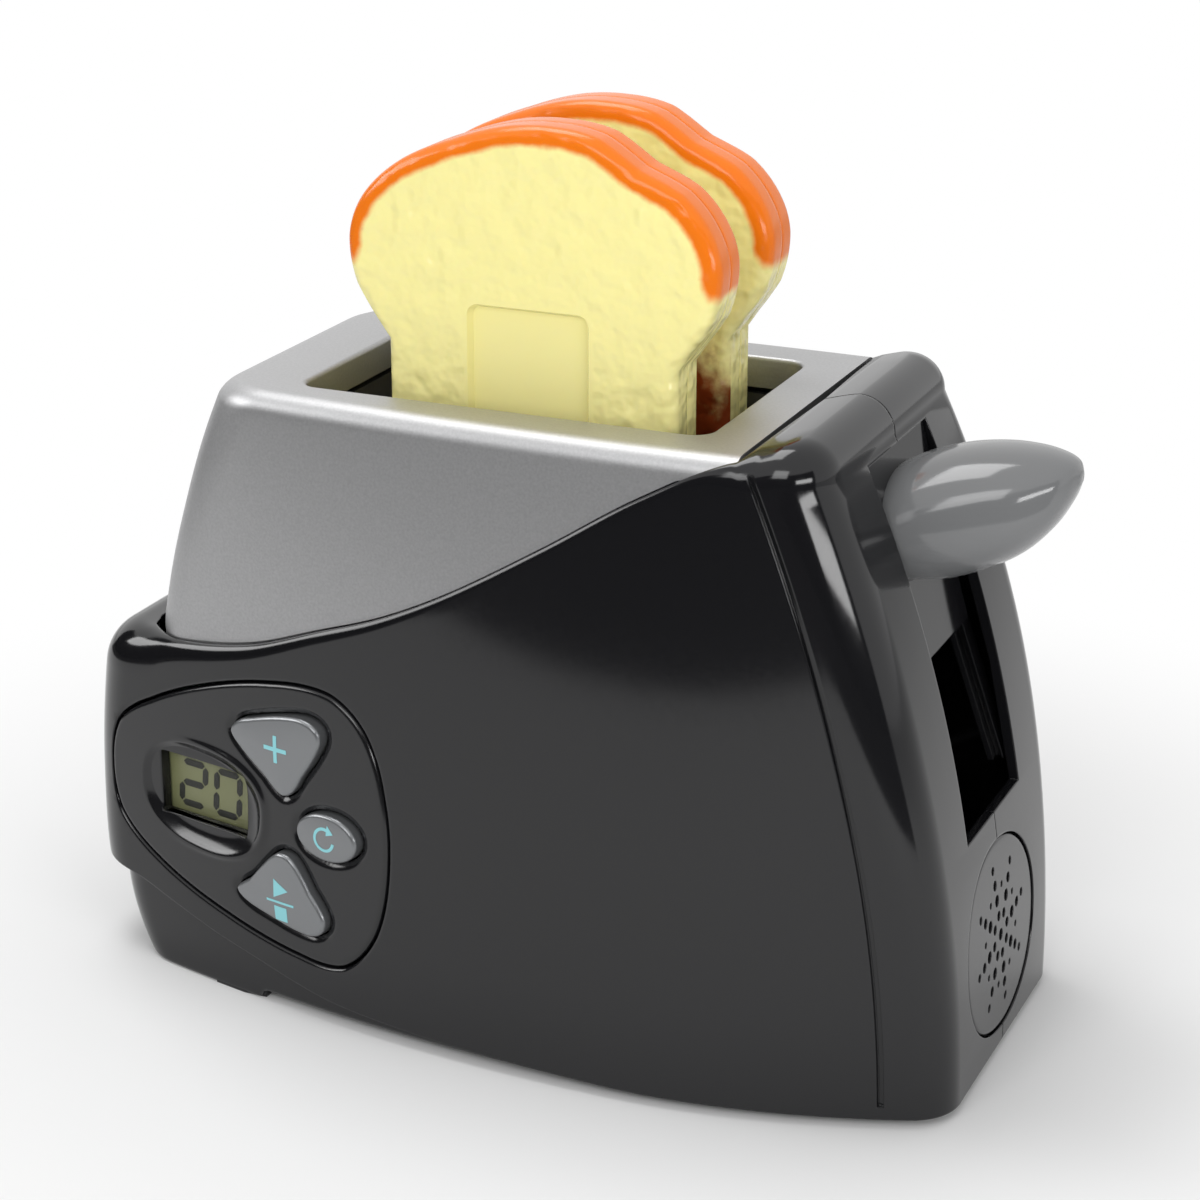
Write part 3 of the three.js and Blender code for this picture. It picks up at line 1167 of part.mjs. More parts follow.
// Batteries, contacts and door
for (const [i, sy] of [[1, -1], [2, 1]]) {
  const flip = sy < 0 ? 1 : -1;
  const start = flip > 0 ? cellX : cellX + cellLength;
  const cell = join(bar(cellRadius, cellLength - 1.2, at(start, sy * cellY, cellZ), at(flip, 0, 0), 24),
    bar(2.6, cellLength, at(start, sy * cellY, cellZ), at(flip, 0, 0), 14));
  add(`battery_${i}`, cell, finishes.cell);
}
const contactHigh = bayTop - bayWall - clearance;
const contactBase = baseSkin + doorThickness + clearance * 2;
const springPlate = box(bayX0 + bayWall + clearance, bayX0 + bayWall + clearance + 0.6, -15, 15, contactBase, contactHigh);
const springEnds = [-1, 1].map((sy) => bar(3.5, cellX - clearance - (bayX0 + bayWall + clearance), at(bayX0 + bayWall + clearance,
  sy * cellY, cellZ), xAxis, 14, 2));
add('contact_spring_plate', join(springPlate, ...springEnds), finishes.steel);
add('contact_plate', box(cellX + cellLength + clearance, bayX1 - bayWall - clearance, -15, 15, contactBase, contactHigh), finishes.steel);
const doorGap = clearance;
const doorInner = [bayX0 + bayWall + doorGap, bayX1 - bayWall - doorGap, bayHalf - bayWall - doorGap];
const door = box(doorInner[0], doorInner[1], -doorInner[2], doorInner[2], baseSkin, baseSkin + doorThickness);
const doorTongue = box(doorInner[1] - 1, bayX1 + 12, -7, 7, 0.3, baseSkin - clearance + 0.0);
const doorStep = box(doorInner[1] - 6, doorInner[1], -7, 7, 0.3, baseSkin + doorThickness);
const ribs = [-12, -6, 0, 6, 12].map((x) => box(x, x + 1.6, -12, 12, baseSkin - 0.4, baseSkin + 0.2));
add('battery_door', cut(join(door, doorStep, doorTongue, ...ribs), bar(screwHole, overrun, at(bayX1 + 6, 0, -1), zAxis, 12)),
  finishes.black);
add('battery_door_screw', bar(screwRadius, 5, at(bayX1 + 6, 0, 0.3), zAxis, 12), finishes.steel);

// Bread
const frontSlice = slicePair(-sliceInnerY - sliceThickness);
const rearSlice = slicePair(sliceInnerY);
add('front_bread_near_half', frontSlice[0], finishes.bread);
add('front_bread_far_half', frontSlice[1], finishes.bread);
add('rear_bread_near_half', rearSlice[0], finishes.rear);
add('rear_bread_far_half', rearSlice[1], finishes.rear);

// Centre the box on the origin
toaster.position.x = (leftReach - knobTipX) / 2;

export default toaster;
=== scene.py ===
"""Play toaster with two slices of play bread, dressed for a product picture."""
from math import acos, atan2, cos, exp, hypot, pi, radians, sin, sqrt, tan

import bmesh
import bpy
from mathutils import Matrix, Vector, bvhtree, kdtree, noise


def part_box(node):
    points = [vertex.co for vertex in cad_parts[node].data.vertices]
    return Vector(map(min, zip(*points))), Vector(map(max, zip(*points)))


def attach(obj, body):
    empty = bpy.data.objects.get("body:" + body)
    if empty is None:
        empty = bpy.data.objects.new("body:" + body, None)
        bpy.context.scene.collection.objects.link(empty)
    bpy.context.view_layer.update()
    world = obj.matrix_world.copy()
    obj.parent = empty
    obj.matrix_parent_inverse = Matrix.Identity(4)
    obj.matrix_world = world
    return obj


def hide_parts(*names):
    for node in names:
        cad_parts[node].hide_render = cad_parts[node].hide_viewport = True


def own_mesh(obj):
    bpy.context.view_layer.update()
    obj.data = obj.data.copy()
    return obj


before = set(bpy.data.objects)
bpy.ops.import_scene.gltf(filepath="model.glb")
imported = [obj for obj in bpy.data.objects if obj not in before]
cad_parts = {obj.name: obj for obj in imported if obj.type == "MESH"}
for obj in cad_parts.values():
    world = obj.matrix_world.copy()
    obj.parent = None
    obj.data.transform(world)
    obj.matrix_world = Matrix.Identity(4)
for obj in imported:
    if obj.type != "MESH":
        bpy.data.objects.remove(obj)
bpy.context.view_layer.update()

bl_info = {
    "name": "Play Toaster",
    "version": (1, 0, 0),
    "blender": (4, 5, 0),
    "location": "View3D > Sidebar > Toaster",
    "description": "Builds a moulded play toaster with bread slices, keys, display and lever",
    "category": "Add Mesh",
}


def mm(length):
    """Millimetres as metres."""
    return length / 1000


def colour(text):
    """An sRGB hex colour as linear red, green and blue."""
    shares = [int(text[i:i + 2], 16) / 255 for i in (1, 3, 5)]
    return tuple(s / 12.92 if s <= 0.04045 else ((s + 0.055) / 1.055) ** 2.4 for s in shares)


def length(name, description, value):
    """A property for a length given in millimetres."""
    return bpy.props.FloatProperty(
        name=name, description=description, default=mm(value), unit="LENGTH", precision=4)


def tint(name, description, text):
    """A property for a colour given in sRGB hex."""
    return bpy.props.FloatVectorProperty(
        name=name, description=description, default=colour(text), subtype="COLOR", size=3, min=0, max=1)


class ToasterSizes(bpy.types.PropertyGroup):
    """Sizes of the housing, shell, bread, controls and lever."""
    shell_top: length("Shell top", "Height of the silver shell's top", 160)
    half_depth: length("Half depth", "From the parting plane to the front wall at the table", 62.2)
    top_taper: length("Taper", "How far the long sides draw in towards the top", 12)
    left_reach: length("Left reach", "From the middle of the opening to the display end", 119.6)
    right_reach: length("Right reach", "From the middle of the opening to the lever end", 120.5)
    end_lean: length("End lean", "How far the lever end leans in at the top", 35.8)
    widest_x: length("Widest place", "Where the long sides stand furthest out", 37)
    left_corner: length("Left corner", "Corner radius at the display end", 17)
    right_corner: length("Right corner", "Corner radius at the lever end", 13)
    wall: length("Wall", "Thickness of the black housing", 2.5)
    rim_rounding: length("Rim rounding", "Radius of the shoulder under the silver shell", 9)
    column_x: length("Column", "Where the closed column begins", 66)
    crest_height: length("Crest", "Height of the column's crest", 164.3)
    crest_x: length("Crest place", "Middle of the crest's arc", 78.5)
    crest_radius: length("Crest radius", "Radius of the crest's arc", 9)
    opening_half_length: length("Opening half length", "Half the length of the bread opening", 53)
    opening_half_width: length("Opening half width", "Half the width of the bread opening", 34)
    panel_width: length("Panel width", "Width of the leaf-shaped control panel", 91)
    panel_height: length("Panel height", "Height of the leaf-shaped control panel", 74)
    slice_thickness: length("Slice thickness", "Thickness of a slice of play bread", 16)
    knob_half_width: length("Knob half width", "Half the width of the lever knob", 20.2)


class ToasterColours(bpy.types.PropertyGroup):
    """Colours of the plastics, the bread and the display."""
    black: tint("Black", "Black gloss plastic of the housing", "#141416")
    panel: tint("Panel", "Black plastic of the control panel", "#151517")
    silver: tint("Silver", "Metallic paint of the upper shell", "#a9a9aa")
    knob: tint("Knob", "Grey plastic of the lever", "#6f7071")
    keys: tint("Keys", "Metallic grey paint of the keys", "#7c7e80")
    signs: tint("Signs", "Printed signs on the keys", "#86c9d0")
    bread: tint("Bread", "Pale yellow of the bread", "#f8eea2")
    crust: tint("Crust", "Airbrushed orange of the crust", "#ee780c")
    # Gap shade: brown painted into the slices' facing sides, standing for the shade and the orange-brown
    # reflection in the gap between them
    gap_shade: tint("Gap shade", "Brown painted shade and reflection between the slices", "#8c3f1c")
    display: tint("Display", "Olive ground of the display", "#878a62")
    digits: tint("Digits", "Dark segments of the display", "#1a1c14")


# Shapes are drawn about the middle of the bread opening, and SHIFT takes them to the frame's origin
ROD_X = mm(66)
SHIFT = (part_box("guide_rod")[0].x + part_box("guide_rod")[1].x) / 2 - ROD_X

# Each row pairs a share of one size with a share of another, as the words beside it say
LEFT_END = ((-0.05, 0.95), (0.03, 0.965), (0.11, 0.98), (0.17, 0.995), (0.26, 1), (0.37, 0.996),
            (0.48, 0.98), (0.56, 0.957), (0.7, 0.91), (1.05, 0.8))  # height, reach of the display end
LEFT_BOW = ((-0.1, 1), (0, 1), (0.36, 0.96), (0.56, 0.86), (1, 0.24), (1.1, 0.2))  # height, bow of the wall
RIGHT_BOW = ((-0.1, 1), (0, 1), (0.3, 0.8), (0.62, 0.46), (1, 0.19), (1.1, 0.15))  # height, bow of the wall
RIM = ((-0.1, 0.562), (0, 0.562), (0.16, 0.567), (0.3, 0.595), (0.42, 0.645), (0.52, 0.688), (0.62, 0.745),
       (0.75, 0.835), (0.88, 0.93), (1, 0.995), (1.1, 0.99), (2, 0.985))  # place along, height of the rim
# Place along, height of the casing's lower edge
SWEEP = ((-0.2, 1), (0, 0.99), (0.112, 0.916), (0.195, 0.77), (0.282, 0.61), (0.369, 0.48), (0.45, 0.35),
         (0.53, 0.25), (0.66, 0.185), (0.78, 0.155), (0.96, 0.13), (1.1, 0.11), (2.5, 0.11))
SILVER_LEAN = ((0.3, 1.02), (0.5, 1.005), (0.577, 0.985), (0.616, 0.93), (0.686, 0.8), (0.756, 0.645),
               (0.89, 0.32), (1, 0), (1.05, -0.15))  # height, way from the top's left edge to the low one
# Outlines as shares of the panel's width and height, from its middle
LEAF = ((-0.568, -0.029), (-0.535, 0.135), (-0.403, 0.248), (-0.205, 0.355), (0.05, 0.437), (0.252, 0.441),
        (0.365, 0.33), (0.424, 0.13), (0.442, -0.1), (0.405, -0.357), (0.3, -0.51), (0.148, -0.516),
        (-0.13, -0.445), (-0.381, -0.335), (-0.535, -0.2))
ADD_KEY = ((-0.085, 0.24), (-0.063, 0.279), (-0.012, 0.304), (0.162, 0.352), (0.223, 0.327), (0.233, 0.277),
           (0.163, 0.134), (0.128, 0.07), (0.093, 0.052), (0.03, 0.112), (-0.049, 0.186))
START_KEY = ((0.088, -0.151), (0.134, -0.16), (0.197, -0.263), (0.248, -0.353), (0.237, -0.401),
             (0.195, -0.426), (0.054, -0.399), (-0.049, -0.359), (-0.067, -0.328), (-0.018, -0.278),
             (0.046, -0.19))
BREAD_CAP = ((-0.855, 0.06), (-0.96, 0.21), (-1, 0.44), (-0.915, 0.63), (-0.7, 0.8), (-0.42, 0.91),
             (-0.14, 0.985), (0.12, 1), (0.36, 0.965), (0.57, 0.845), (0.79, 0.755), (0.94, 0.6), (1, 0.43),
             (0.955, 0.2), (0.85, 0.06))  # across as a share of the half width, up as a share of the rise
# Place along the knob, its top and underside in millimetres, and its width as a share of the widest
KNOB = ((0, 141, 121.3, 1), (0.12, 146.5, 120.9, 1), (0.28, 151.3, 121.4, 0.985), (0.45, 154.3, 123, 0.95),
        (0.62, 155.8, 126.6, 0.87), (0.78, 156, 131.6, 0.74), (0.9, 155.2, 138.2, 0.54),
        (0.97, 153.8, 144.5, 0.33), (1, 151.8, 148.6, 0.1))


def table_value(rows, t, column=1):
    """Smooth value between the rows of a table."""
    last = len(rows) - 2
    i = 0
    while i < last and t > rows[i + 1][0]:
        i += 1
    t0, v0 = rows[i][0], rows[i][column]
    t1, v1 = rows[i + 1][0], rows[i + 1][column]
    before, after = rows[max(i - 1, 0)], rows[min(i + 2, len(rows) - 1)]
    span = t1 - t0
    k = min(max((t - t0) / span, 0), 1)
    start = (v1 - before[column]) / (t1 - before[0]) * span
    end = (after[column] - v0) / (after[0] - t0) * span
    return (v0 * (2 * k ** 3 - 3 * k ** 2 + 1) + start * (k ** 3 - 2 * k ** 2 + k)
            + v1 * (3 * k ** 2 - 2 * k ** 3) + end * (k ** 3 - k ** 2))


def blend(start, end, share):
    """The point a share of the way from one point to another."""
    return tuple(a + (b - a) * share for a, b in zip(start, end))


def through(points, steps, closed=True):
    """A smooth run of points through the given ones, evened out along its length."""
    count = len(points)
    runs = count if closed else count - 1
    per_run = 16
    dense = []
    for i in range(runs):
        spots = range(i - 1, i + 3)
        pick = [points[k % count] if closed else points[min(max(k, 0), count - 1)] for k in spots]
        knots = [0]
        for a, b in zip(pick, pick[1:]):
            knots.append(knots[-1] + max(hypot(b[0] - a[0], b[1] - a[1]), 1e-9) ** 0.5)
        for j in range(per_run):
            t = knots[1] + (knots[2] - knots[1]) * j / per_run
            level = pick
            for depth in (1, 2, 3):
                level = [blend(level[k], level[k + 1], (t - knots[k]) / (knots[k + depth] - knots[k]))
                         for k in range(4 - depth)]
            dense.append(level[0])
    if not closed:
        dense.append(points[-1])
    ring = dense + [dense[0]] if closed else dense
    lengths = [0]
    for a, b in zip(ring, ring[1:]):
        lengths.append(lengths[-1] + hypot(b[0] - a[0], b[1] - a[1]))
    even = []
    i = 0
    for j in range(steps):
        want = lengths[-1] * j / (steps if closed else steps - 1)
        while i < len(ring) - 2 and lengths[i + 1] < want:
            i += 1
        k = (want - lengths[i]) / max(lengths[i + 1] - lengths[i], 1e-12)
        even.append(blend(ring[i], ring[i + 1], k))
    return even


class Plan:
    """Half of a rounded plan outline, from the middle of the left end round the front to the right end."""
    corner_steps = 12
    front_steps = 110

    def __init__(self, left, right, half, bows, corners, widest):
        self.ends = left, right
        self.half, self.bows, self.widest = half, bows, widest
        self.left = self.corner(left, 1, corners[0])
        self.right = self.corner(right, -1, corners[1])
        self.first = self.on_arc(self.left, pi, self.left[2], self.corner_steps)[0]
        self.last = self.on_arc(self.right, self.right[2], 2 * pi, 0)[0]

    @classmethod
    def count(cls):
        return cls.front_steps + 2 * cls.corner_steps + 3

    def bow(self, x):
        return self.bows[0] if x < self.widest else self.bows[1]

    def front(self, x):
        return -self.half + self.bow(x) * (x - self.widest) ** 2

    def corner(self, end, side, radius):
        centre = end + side * radius
        touch = centre
        for _ in range(6):
            slope = 2 * self.bow(touch) * (touch - self.widest)
            touch = centre + radius * slope / hypot(1, slope)
        slope = 2 * self.bow(touch) * (touch - self.widest)
        return (centre, self.front(touch) + radius / hypot(1, slope)), radius, 2 * pi + atan2(-1, slope)

    def on_arc(self, corner, start, end, step):
        (cx, cy), radius, _ = corner
        angle = start + (end - start) * step / self.corner_steps
        return cx + radius * cos(angle), cy + radius * sin(angle)

    def point(self, i):
        arc = self.corner_steps + 1
        if i == 0:
            return self.ends[0], 0
        if i <= arc:
            return self.on_arc(self.left, pi, self.left[2], i - 1)
        i -= arc
        if i < self.front_steps:
            x = self.first + (self.last - self.first) * i / self.front_steps
            return x, self.front(x)
        i -= self.front_steps
        if i < arc:
            return self.on_arc(self.right, self.right[2], 2 * pi, i)
        return self.ends[1], 0

    def points(self):
        return [self.point(i) for i in range(self.count())]


class HousingForm:
    """The outer form of the housing: a plan outline for every height, its rim and its lower edge."""
    side_power, end_power = 1.6, 2.114  # how the side and the lever end lean in with the height
    left_bow, right_bow = mm(476), mm(190)  # radii of the long walls on each side of their widest place
    least_corner = mm(2)
    skirt_left, skirt_tuck, skirt_height = mm(112), mm(8.5), mm(25)
    skirt_end_step, skirt_side_step, skirt_corners = mm(4.4), mm(1), (mm(15), mm(9))
    crest_step, crest_lift, crest_softness = mm(0.8), mm(0.3), mm(5)
    silver_left, silver_flare = mm(74.5), mm(23.5)  # reach at the shell's top, and how much it gains below
    silver_rounding, silver_corner, silver_fuller = mm(5), mm(17), 0.17
    silver_end_step, silver_side_step = mm(5), mm(1)
    opening_corner = mm(5)
    sweep_height = mm(25)

    def __init__(self, sizes):
        self.s = sizes
        self.top = sizes.shell_top

    def front_reach(self, z):
        return self.s.half_depth - self.s.top_taper * (max(z, 0) / self.top) ** self.side_power

    def right_end(self, z):
        return self.s.right_reach - self.s.end_lean * (max(z, 0) / self.top) ** self.end_power

    def left_end(self, z):
        return self.s.left_reach * table_value(LEFT_END, z / self.top)

    def bows(self, z):
        return (table_value(LEFT_BOW, z / self.top) / (2 * self.left_bow),
                table_value(RIGHT_BOW, z / self.top) / (2 * self.right_bow))

    def casing(self, z, inset=0.0):
        """Plan outline of the black casing."""
        radii = self.s.left_corner, self.s.right_corner
        corners = [max(radius - inset, self.least_corner) for radius in radii]
        return Plan(-self.left_end(z) + inset, self.right_end(z) - inset, self.front_reach(z) - inset,
                    self.bows(z), corners, self.s.widest_x)

    def skirt(self, z, inset=0.0):
        """Plan outline of the base's skirt under the casing's swept edge."""
        left = self.skirt_left - self.skirt_tuck * (1 - min(max(z, 0) / self.skirt_height, 1)) ** 2
        corners = [radius - inset for radius in self.skirt_corners]
        return Plan(-left + inset, self.right_end(z) - self.skirt_end_step - inset,
                    self.front_reach(z) - self.skirt_side_step - inset, self.bows(z), corners,
                    self.s.widest_x)

    def crest(self, x):
        """Height of the column's top, which rises softly from the silver shell."""
        fall = (self.s.crest_height - self.top - self.crest_step) / (self.s.crest_x - self.s.column_x)
        t = self.s.crest_x - x
        return self.s.crest_height + self.crest_lift - fall * (t + hypot(t, self.crest_softness)) / 2

    def silver(self, z, inset=0.0):
        """Plan outline of the silver shell."""
        rounding = self.silver_rounding
        over = z - (self.top - rounding)
        drop = rounding - sqrt(max(rounding ** 2 - over ** 2, 0)) if over > 0 else 0
        d = inset + drop
        left = self.silver_left + self.silver_flare * table_value(SILVER_LEAN, z / self.top)
        bows = self.bows(z)
        radii = self.silver_corner, self.s.right_corner
        corners = [max(radius - d, self.least_corner) for radius in radii]
        return Plan(-left + d, self.right_end(z) - self.silver_end_step - d,
                    self.front_reach(z) - self.silver_side_step - d,
                    (bows[0] + self.silver_fuller / (2 * self.left_bow), bows[1]), corners, self.s.widest_x)

    def opening(self, inset=0.0):
        """Plan outline of the bread opening."""
        half = self.s.opening_half_length + inset
        corner = self.opening_corner + inset
        return Plan(-half, half, self.s.opening_half_width + inset, (0, 0), (corner, corner), 0)

    def rim(self, x):
        return self.top * table_value(RIM, (x + self.s.left_reach) / (self.s.column_x + self.s.left_reach))

    def sweep(self, x):
        along = (x + self.s.left_reach) / (self.s.widest_x + self.s.left_reach)
        return self.sweep_height * table_value(SWEEP, along)

    def front_y(self, x, z):
        bows = self.bows(z)
        bow = bows[0] if x < self.s.widest_x else bows[1]
        return -self.front_reach(z) + bow * (x - self.s.widest_x) ** 2


def meet(plan, i, height_at, start):
    """Height at which station i of a plan meets a height that follows x."""
    z = start
    for _ in range(8):
        z = height_at(plan(z).point(i)[0])
    return z


def reach_to(run, start, step):
    """Distance from a point along a direction to a run of points."""
    best = 1e9
    (px, py), (dx, dy) = start, step
    for (ax, ay), (bx, by) in zip(run, run[1:]):
        det = dx * (ay - by) - dy * (ax - bx)
        if abs(det) < 1e-15:
            continue
        t = ((ax - px) * (ay - by) - (ay - py) * (ax - bx)) / det
        k = (dx * (ay - py) - dy * (ax - px)) / det
        if t > 0 and -0.001 <= k <= 1.001:
            best = min(best, t)
    return best


def mirrored_run(points):
    return points + [(x, -y) for x, y in reversed(points[:-1])]


def spread(start, end, steps):
    return [start + (end - start) * i / steps for i in range(steps + 1)]


class PanelFrame:
    """The plane that lies along the front wall round the controls."""

    def __init__(self, form):
        self.form = form
        self.turn = radians(11.5)
        self.across = Vector((cos(self.turn), -sin(self.turn), 0))
        self.out = Vector((-sin(self.turn), -cos(self.turn), 0))
        x, z = mm(-60), mm(55)
        self.origin = Vector((x, form.front_y(x, z), z))

    def at(self, u, v, w):
        return self.origin + self.across * u + Vector((0, 0, v)) + self.out * w

    def surface(self, u, v):
        """Distance from the plane out to the wall's surface."""
        w = 0.0
        for _ in range(5):
            p = self.at(u, v, w)
            w += (p.y - self.form.front_y(p.x, p.z)) * cos(self.turn)
        return w

    def on_wall(self, u, v, depth):
        return self.at(u, v, self.surface(u, v) + depth)


# Mesh helpers

MERGE = mm(0.002)


def formed_grid(rows, columns, at):
    """A grid whose points go where at(row, column) says, closed where its edges meet."""
    bm = bmesh.new()
    bmesh.ops.create_grid(bm, x_segments=columns, y_segments=rows, size=0.5)
    for vert in bm.verts:
        vert.co = at(round((vert.co.y + 0.5) * rows), round((vert.co.x + 0.5) * columns))
    bmesh.ops.remove_doubles(bm, verts=bm.verts, dist=MERGE)
    bmesh.ops.holes_fill(bm, edges=bm.edges, sides=0)
    bmesh.ops.recalc_face_normals(bm, faces=bm.faces)
    return bm


def push_out(bm, faces, along):
    """Gives faces a thickness along a vector."""
    grown = bmesh.ops.extrude_face_region(bm, geom=faces)["geom"]
    bmesh.ops.translate(bm, verts=[g for g in grown if isinstance(g, bmesh.types.BMVert)], vec=along)


def prism(points, along):
    """A solid drawn from an outline in space and pushed along a vector."""
    bm = bmesh.new()
    face = bm.faces.new([bm.verts.new(p) for p in points])
    push_out(bm, [face], along)
    bmesh.ops.recalc_face_normals(bm, faces=bm.faces)
    return bm


def side_prism(outline, low_y, high_y):
    """A prism across the width over a side outline."""
    return prism([(x, low_y, z) for x, z in outline], (0, high_y - low_y, 0))


def end_prism(outline, low_x, high_x):
    """A prism along the length over an outline in y and z."""
    return prism([(low_x, y, z) for y, z in outline], (high_x - low_x, 0, 0))


def offset(outline, distance):
    """The outline moved outwards by a distance, or inwards when negative."""
    area = sum(x * ny - nx * y for (x, y), (nx, ny) in zip(outline, outline[1:] + outline[:1]))
    way = distance if area > 0 else -distance
    moved = []
    for i, (x, y) in enumerate(outline):
        px, py = outline[i - 1]
        nx, ny = outline[(i + 1) % len(outline)]
        edge = hypot(nx - px, ny - py)
        moved.append((x + way * (ny - py) / edge, y - way * (nx - px) / edge))
    return moved


def centre_of(outline):
    return tuple(sum(p[k] for p in outline) / len(outline) for k in (0, 1))


def crowned(outline, rows, place):
    """A closed plate over an outline: each row is an inset, a share towards the middle, and a depth."""
    cx, cy = centre_of(outline)
    rings = [[(cx + (x - cx) * share, cy + (y - cy) * share, depth) for x, y in offset(outline, -inset)]
             for inset, share, depth in rows]
    count = len(outline)
    return formed_grid(len(rows) - 1, count, lambda r, c: place(*rings[r][c % count]))


def quarter_round(radius, steps):
    """Steps from a wall over its rounded edge to the face: how far in and how far up each one lies."""
    return [(radius * (1 - cos(a)), radius * sin(a)) for a in spread(0, pi / 2, steps)]


def ellipse(cx, cy, a, b, tilt=0.0, sides=96, power=1.0):
    """An oval outline, squarer when power is under one."""
    points = []
    for i in range(sides):
        angle = 2 * pi * i / sides
        u = a * (1 if cos(angle) >= 0 else -1) * abs(cos(angle)) ** power
        v = b * (1 if sin(angle) >= 0 else -1) * abs(sin(angle)) ** power
        points.append((cx + u * cos(tilt) - v * sin(tilt), cy + u * sin(tilt) + v * cos(tilt)))
    return points


def circle(cx, cy, radius, sides):
    return ellipse(cx, cy, radius, radius, 0.0, sides)


def rectangle(left, right, low, high):
    return [(left, low), (right, low), (right, high), (left, high)]


def through_corners(corners, radius, steps=5):
    """An outline with each corner rounded."""
    points = []
    for i, here in enumerate(corners):
        here = Vector(here)
        before = (Vector(corners[i - 1]) - here).normalized()
        after = (Vector(corners[(i + 1) % len(corners)]) - here).normalized()
        half = acos(min(max(before.dot(after), -1), 1)) / 2
        centre = here + (before + after).normalized() * radius / sin(half)
        first = here + before * radius / tan(half) - centre
        last = here + after * radius / tan(half) - centre
        start, end = atan2(first.y, first.x), atan2(last.y, last.x)
        turn = (end - start + pi) % (2 * pi) - pi
        angles = [start + turn * k / steps for k in range(steps + 1)]
        points += [(centre.x + radius * cos(a), centre.y + radius * sin(a)) for a in angles]
    return points


def plan_block(plan, heights, inset):
    """A closed solid that fills a plan outline between heights."""
    rings = [mirrored_run(plan(z, inset).points())[:-1] for z in heights]
    count = len(rings[0])
    return formed_grid(len(heights) - 1, count, lambda r, c: (*rings[r][c % count], heights[r]))


def tool(bm):
    """A bare object for cutting with, in the frame's place."""
    mesh = bpy.data.meshes.new("tool")
    bmesh.ops.translate(bm, verts=bm.verts, vec=(SHIFT, 0, 0))
    bm.to_mesh(mesh)
    bm.free()
    made = bpy.data.objects.new("tool", mesh)
    bpy.context.scene.collection.objects.link(made)
    return made


def unmade(piece):
    """Takes a bare object apart again into a bmesh about the middle of the opening."""
    bm = bmesh.new()
    bm.from_mesh(piece.data)
    bmesh.ops.translate(bm, verts=bm.verts, vec=(-SHIFT, 0, 0))
    mesh = piece.data
    bpy.data.objects.remove(piece)
    bpy.data.meshes.remove(mesh)
    return bm


def carve(piece, bm, operation="DIFFERENCE"):
    """Cuts, keeps or joins a piece with another solid."""
    cutter = tool(bm)
    step = piece.modifiers.new("carve", "BOOLEAN")
    step.operation = operation
    step.solver = "MANIFOLD"
    step.object = cutter
    graph = bpy.context.evaluated_depsgraph_get()
    fresh = bpy.data.meshes.new_from_object(piece.evaluated_get(graph))
    piece.modifiers.remove(step)
    old = piece.data
    if len(fresh.polygons) == 0:
        raise RuntimeError(f"{piece.name} has nothing left after a cut")
    piece.data = fresh
    fresh.name = piece.name
    bpy.data.meshes.remove(old)
    cut_mesh = cutter.data
    bpy.data.objects.remove(cutter)
    bpy.data.meshes.remove(cut_mesh)
    return piece


def smooth(piece, angle=35):
    """Smooth faces with the edges sharper than an angle kept."""
    piece.data.shade_smooth()
    piece.data.set_sharp_from_angle(angle=radians(angle))
    return piece


def settle(piece, body, slot, finish, *nodes):
    """Puts a piece on its body, with its finish, in place of its CAD nodes."""
    piece.data.materials.clear()
    piece.data.materials.append(finish)
    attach(piece, body)
    if nodes:
        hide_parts(*nodes)
    return piece


def new_piece(name, bm):
    """A named object from a mesh drawn about the middle of the bread opening."""
    piece = tool(bm)
    piece.name = name
    piece.data.name = name
    return piece


def bevelled(piece, width):
    """Rounds a piece's sharp edges."""
    step = piece.modifiers.new("edges", "BEVEL")
    step.width = width
    step.segments = 2
    step.limit_method = "ANGLE"
    step.angle_limit = radians(40)
    step.harden_normals = False


def from_node(name, source, body, slot, finish, angle=30, edge=0.0):
    """A merged copy of a CAD node with smooth curves and crisp edges."""
    weld, level = mm(0.001), radians(0.3)
    bm = bmesh.new()
    bm.from_mesh(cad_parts[source].data)
    bmesh.ops.remove_doubles(bm, verts=bm.verts, dist=weld)
    flat = [e for e in bm.edges if len(e.link_faces) == 2 and e.calc_face_angle(0) < level]
    bmesh.ops.dissolve_edges(bm, edges=flat, use_verts=False, use_face_split=False)
    mesh = bpy.data.meshes.new(name)
    bm.to_mesh(mesh)
    bm.free()
    piece = bpy.data.objects.new(name, mesh)
    bpy.context.scene.collection.objects.link(piece)
    if edge:
        bevelled(piece, edge)
    smooth(piece, angle)
    return settle(piece, body, slot, finish, source)


# Materials

def node(tree, kind, inputs=None, **settings):
    """Adds a node with its settings, and fills or links its inputs."""
    made = tree.nodes.new(kind)
    for name, value in settings.items():
        setattr(made, name, value)
    for key, value in (inputs or {}).items():
        if isinstance(value, bpy.types.NodeSocket):
            tree.links.new(value, made.inputs[key])
        else:
            made.inputs[key].default_value = value
    return made


def new_finish(name, rgb, roughness, **shader):
    """A named material with its shader: returns the material, its tree and the shader."""
    made = bpy.data.materials.new(name)
    made.use_nodes = True
    tree = made.node_tree
    tree.nodes.clear()
    values = {"Base Color": (*rgb, 1), "Roughness": roughness}
    for key, value in shader.items():
        values[key.replace("_", " ").title().replace("Ior", "IOR")] = value
    bsdf = node(tree, "ShaderNodeBsdfPrincipled", values)
    node(tree, "ShaderNodeOutputMaterial", {"Surface": bsdf.outputs[0]})
    made.diffuse_color = (*rgb, 1)
    return made, tree, bsdf


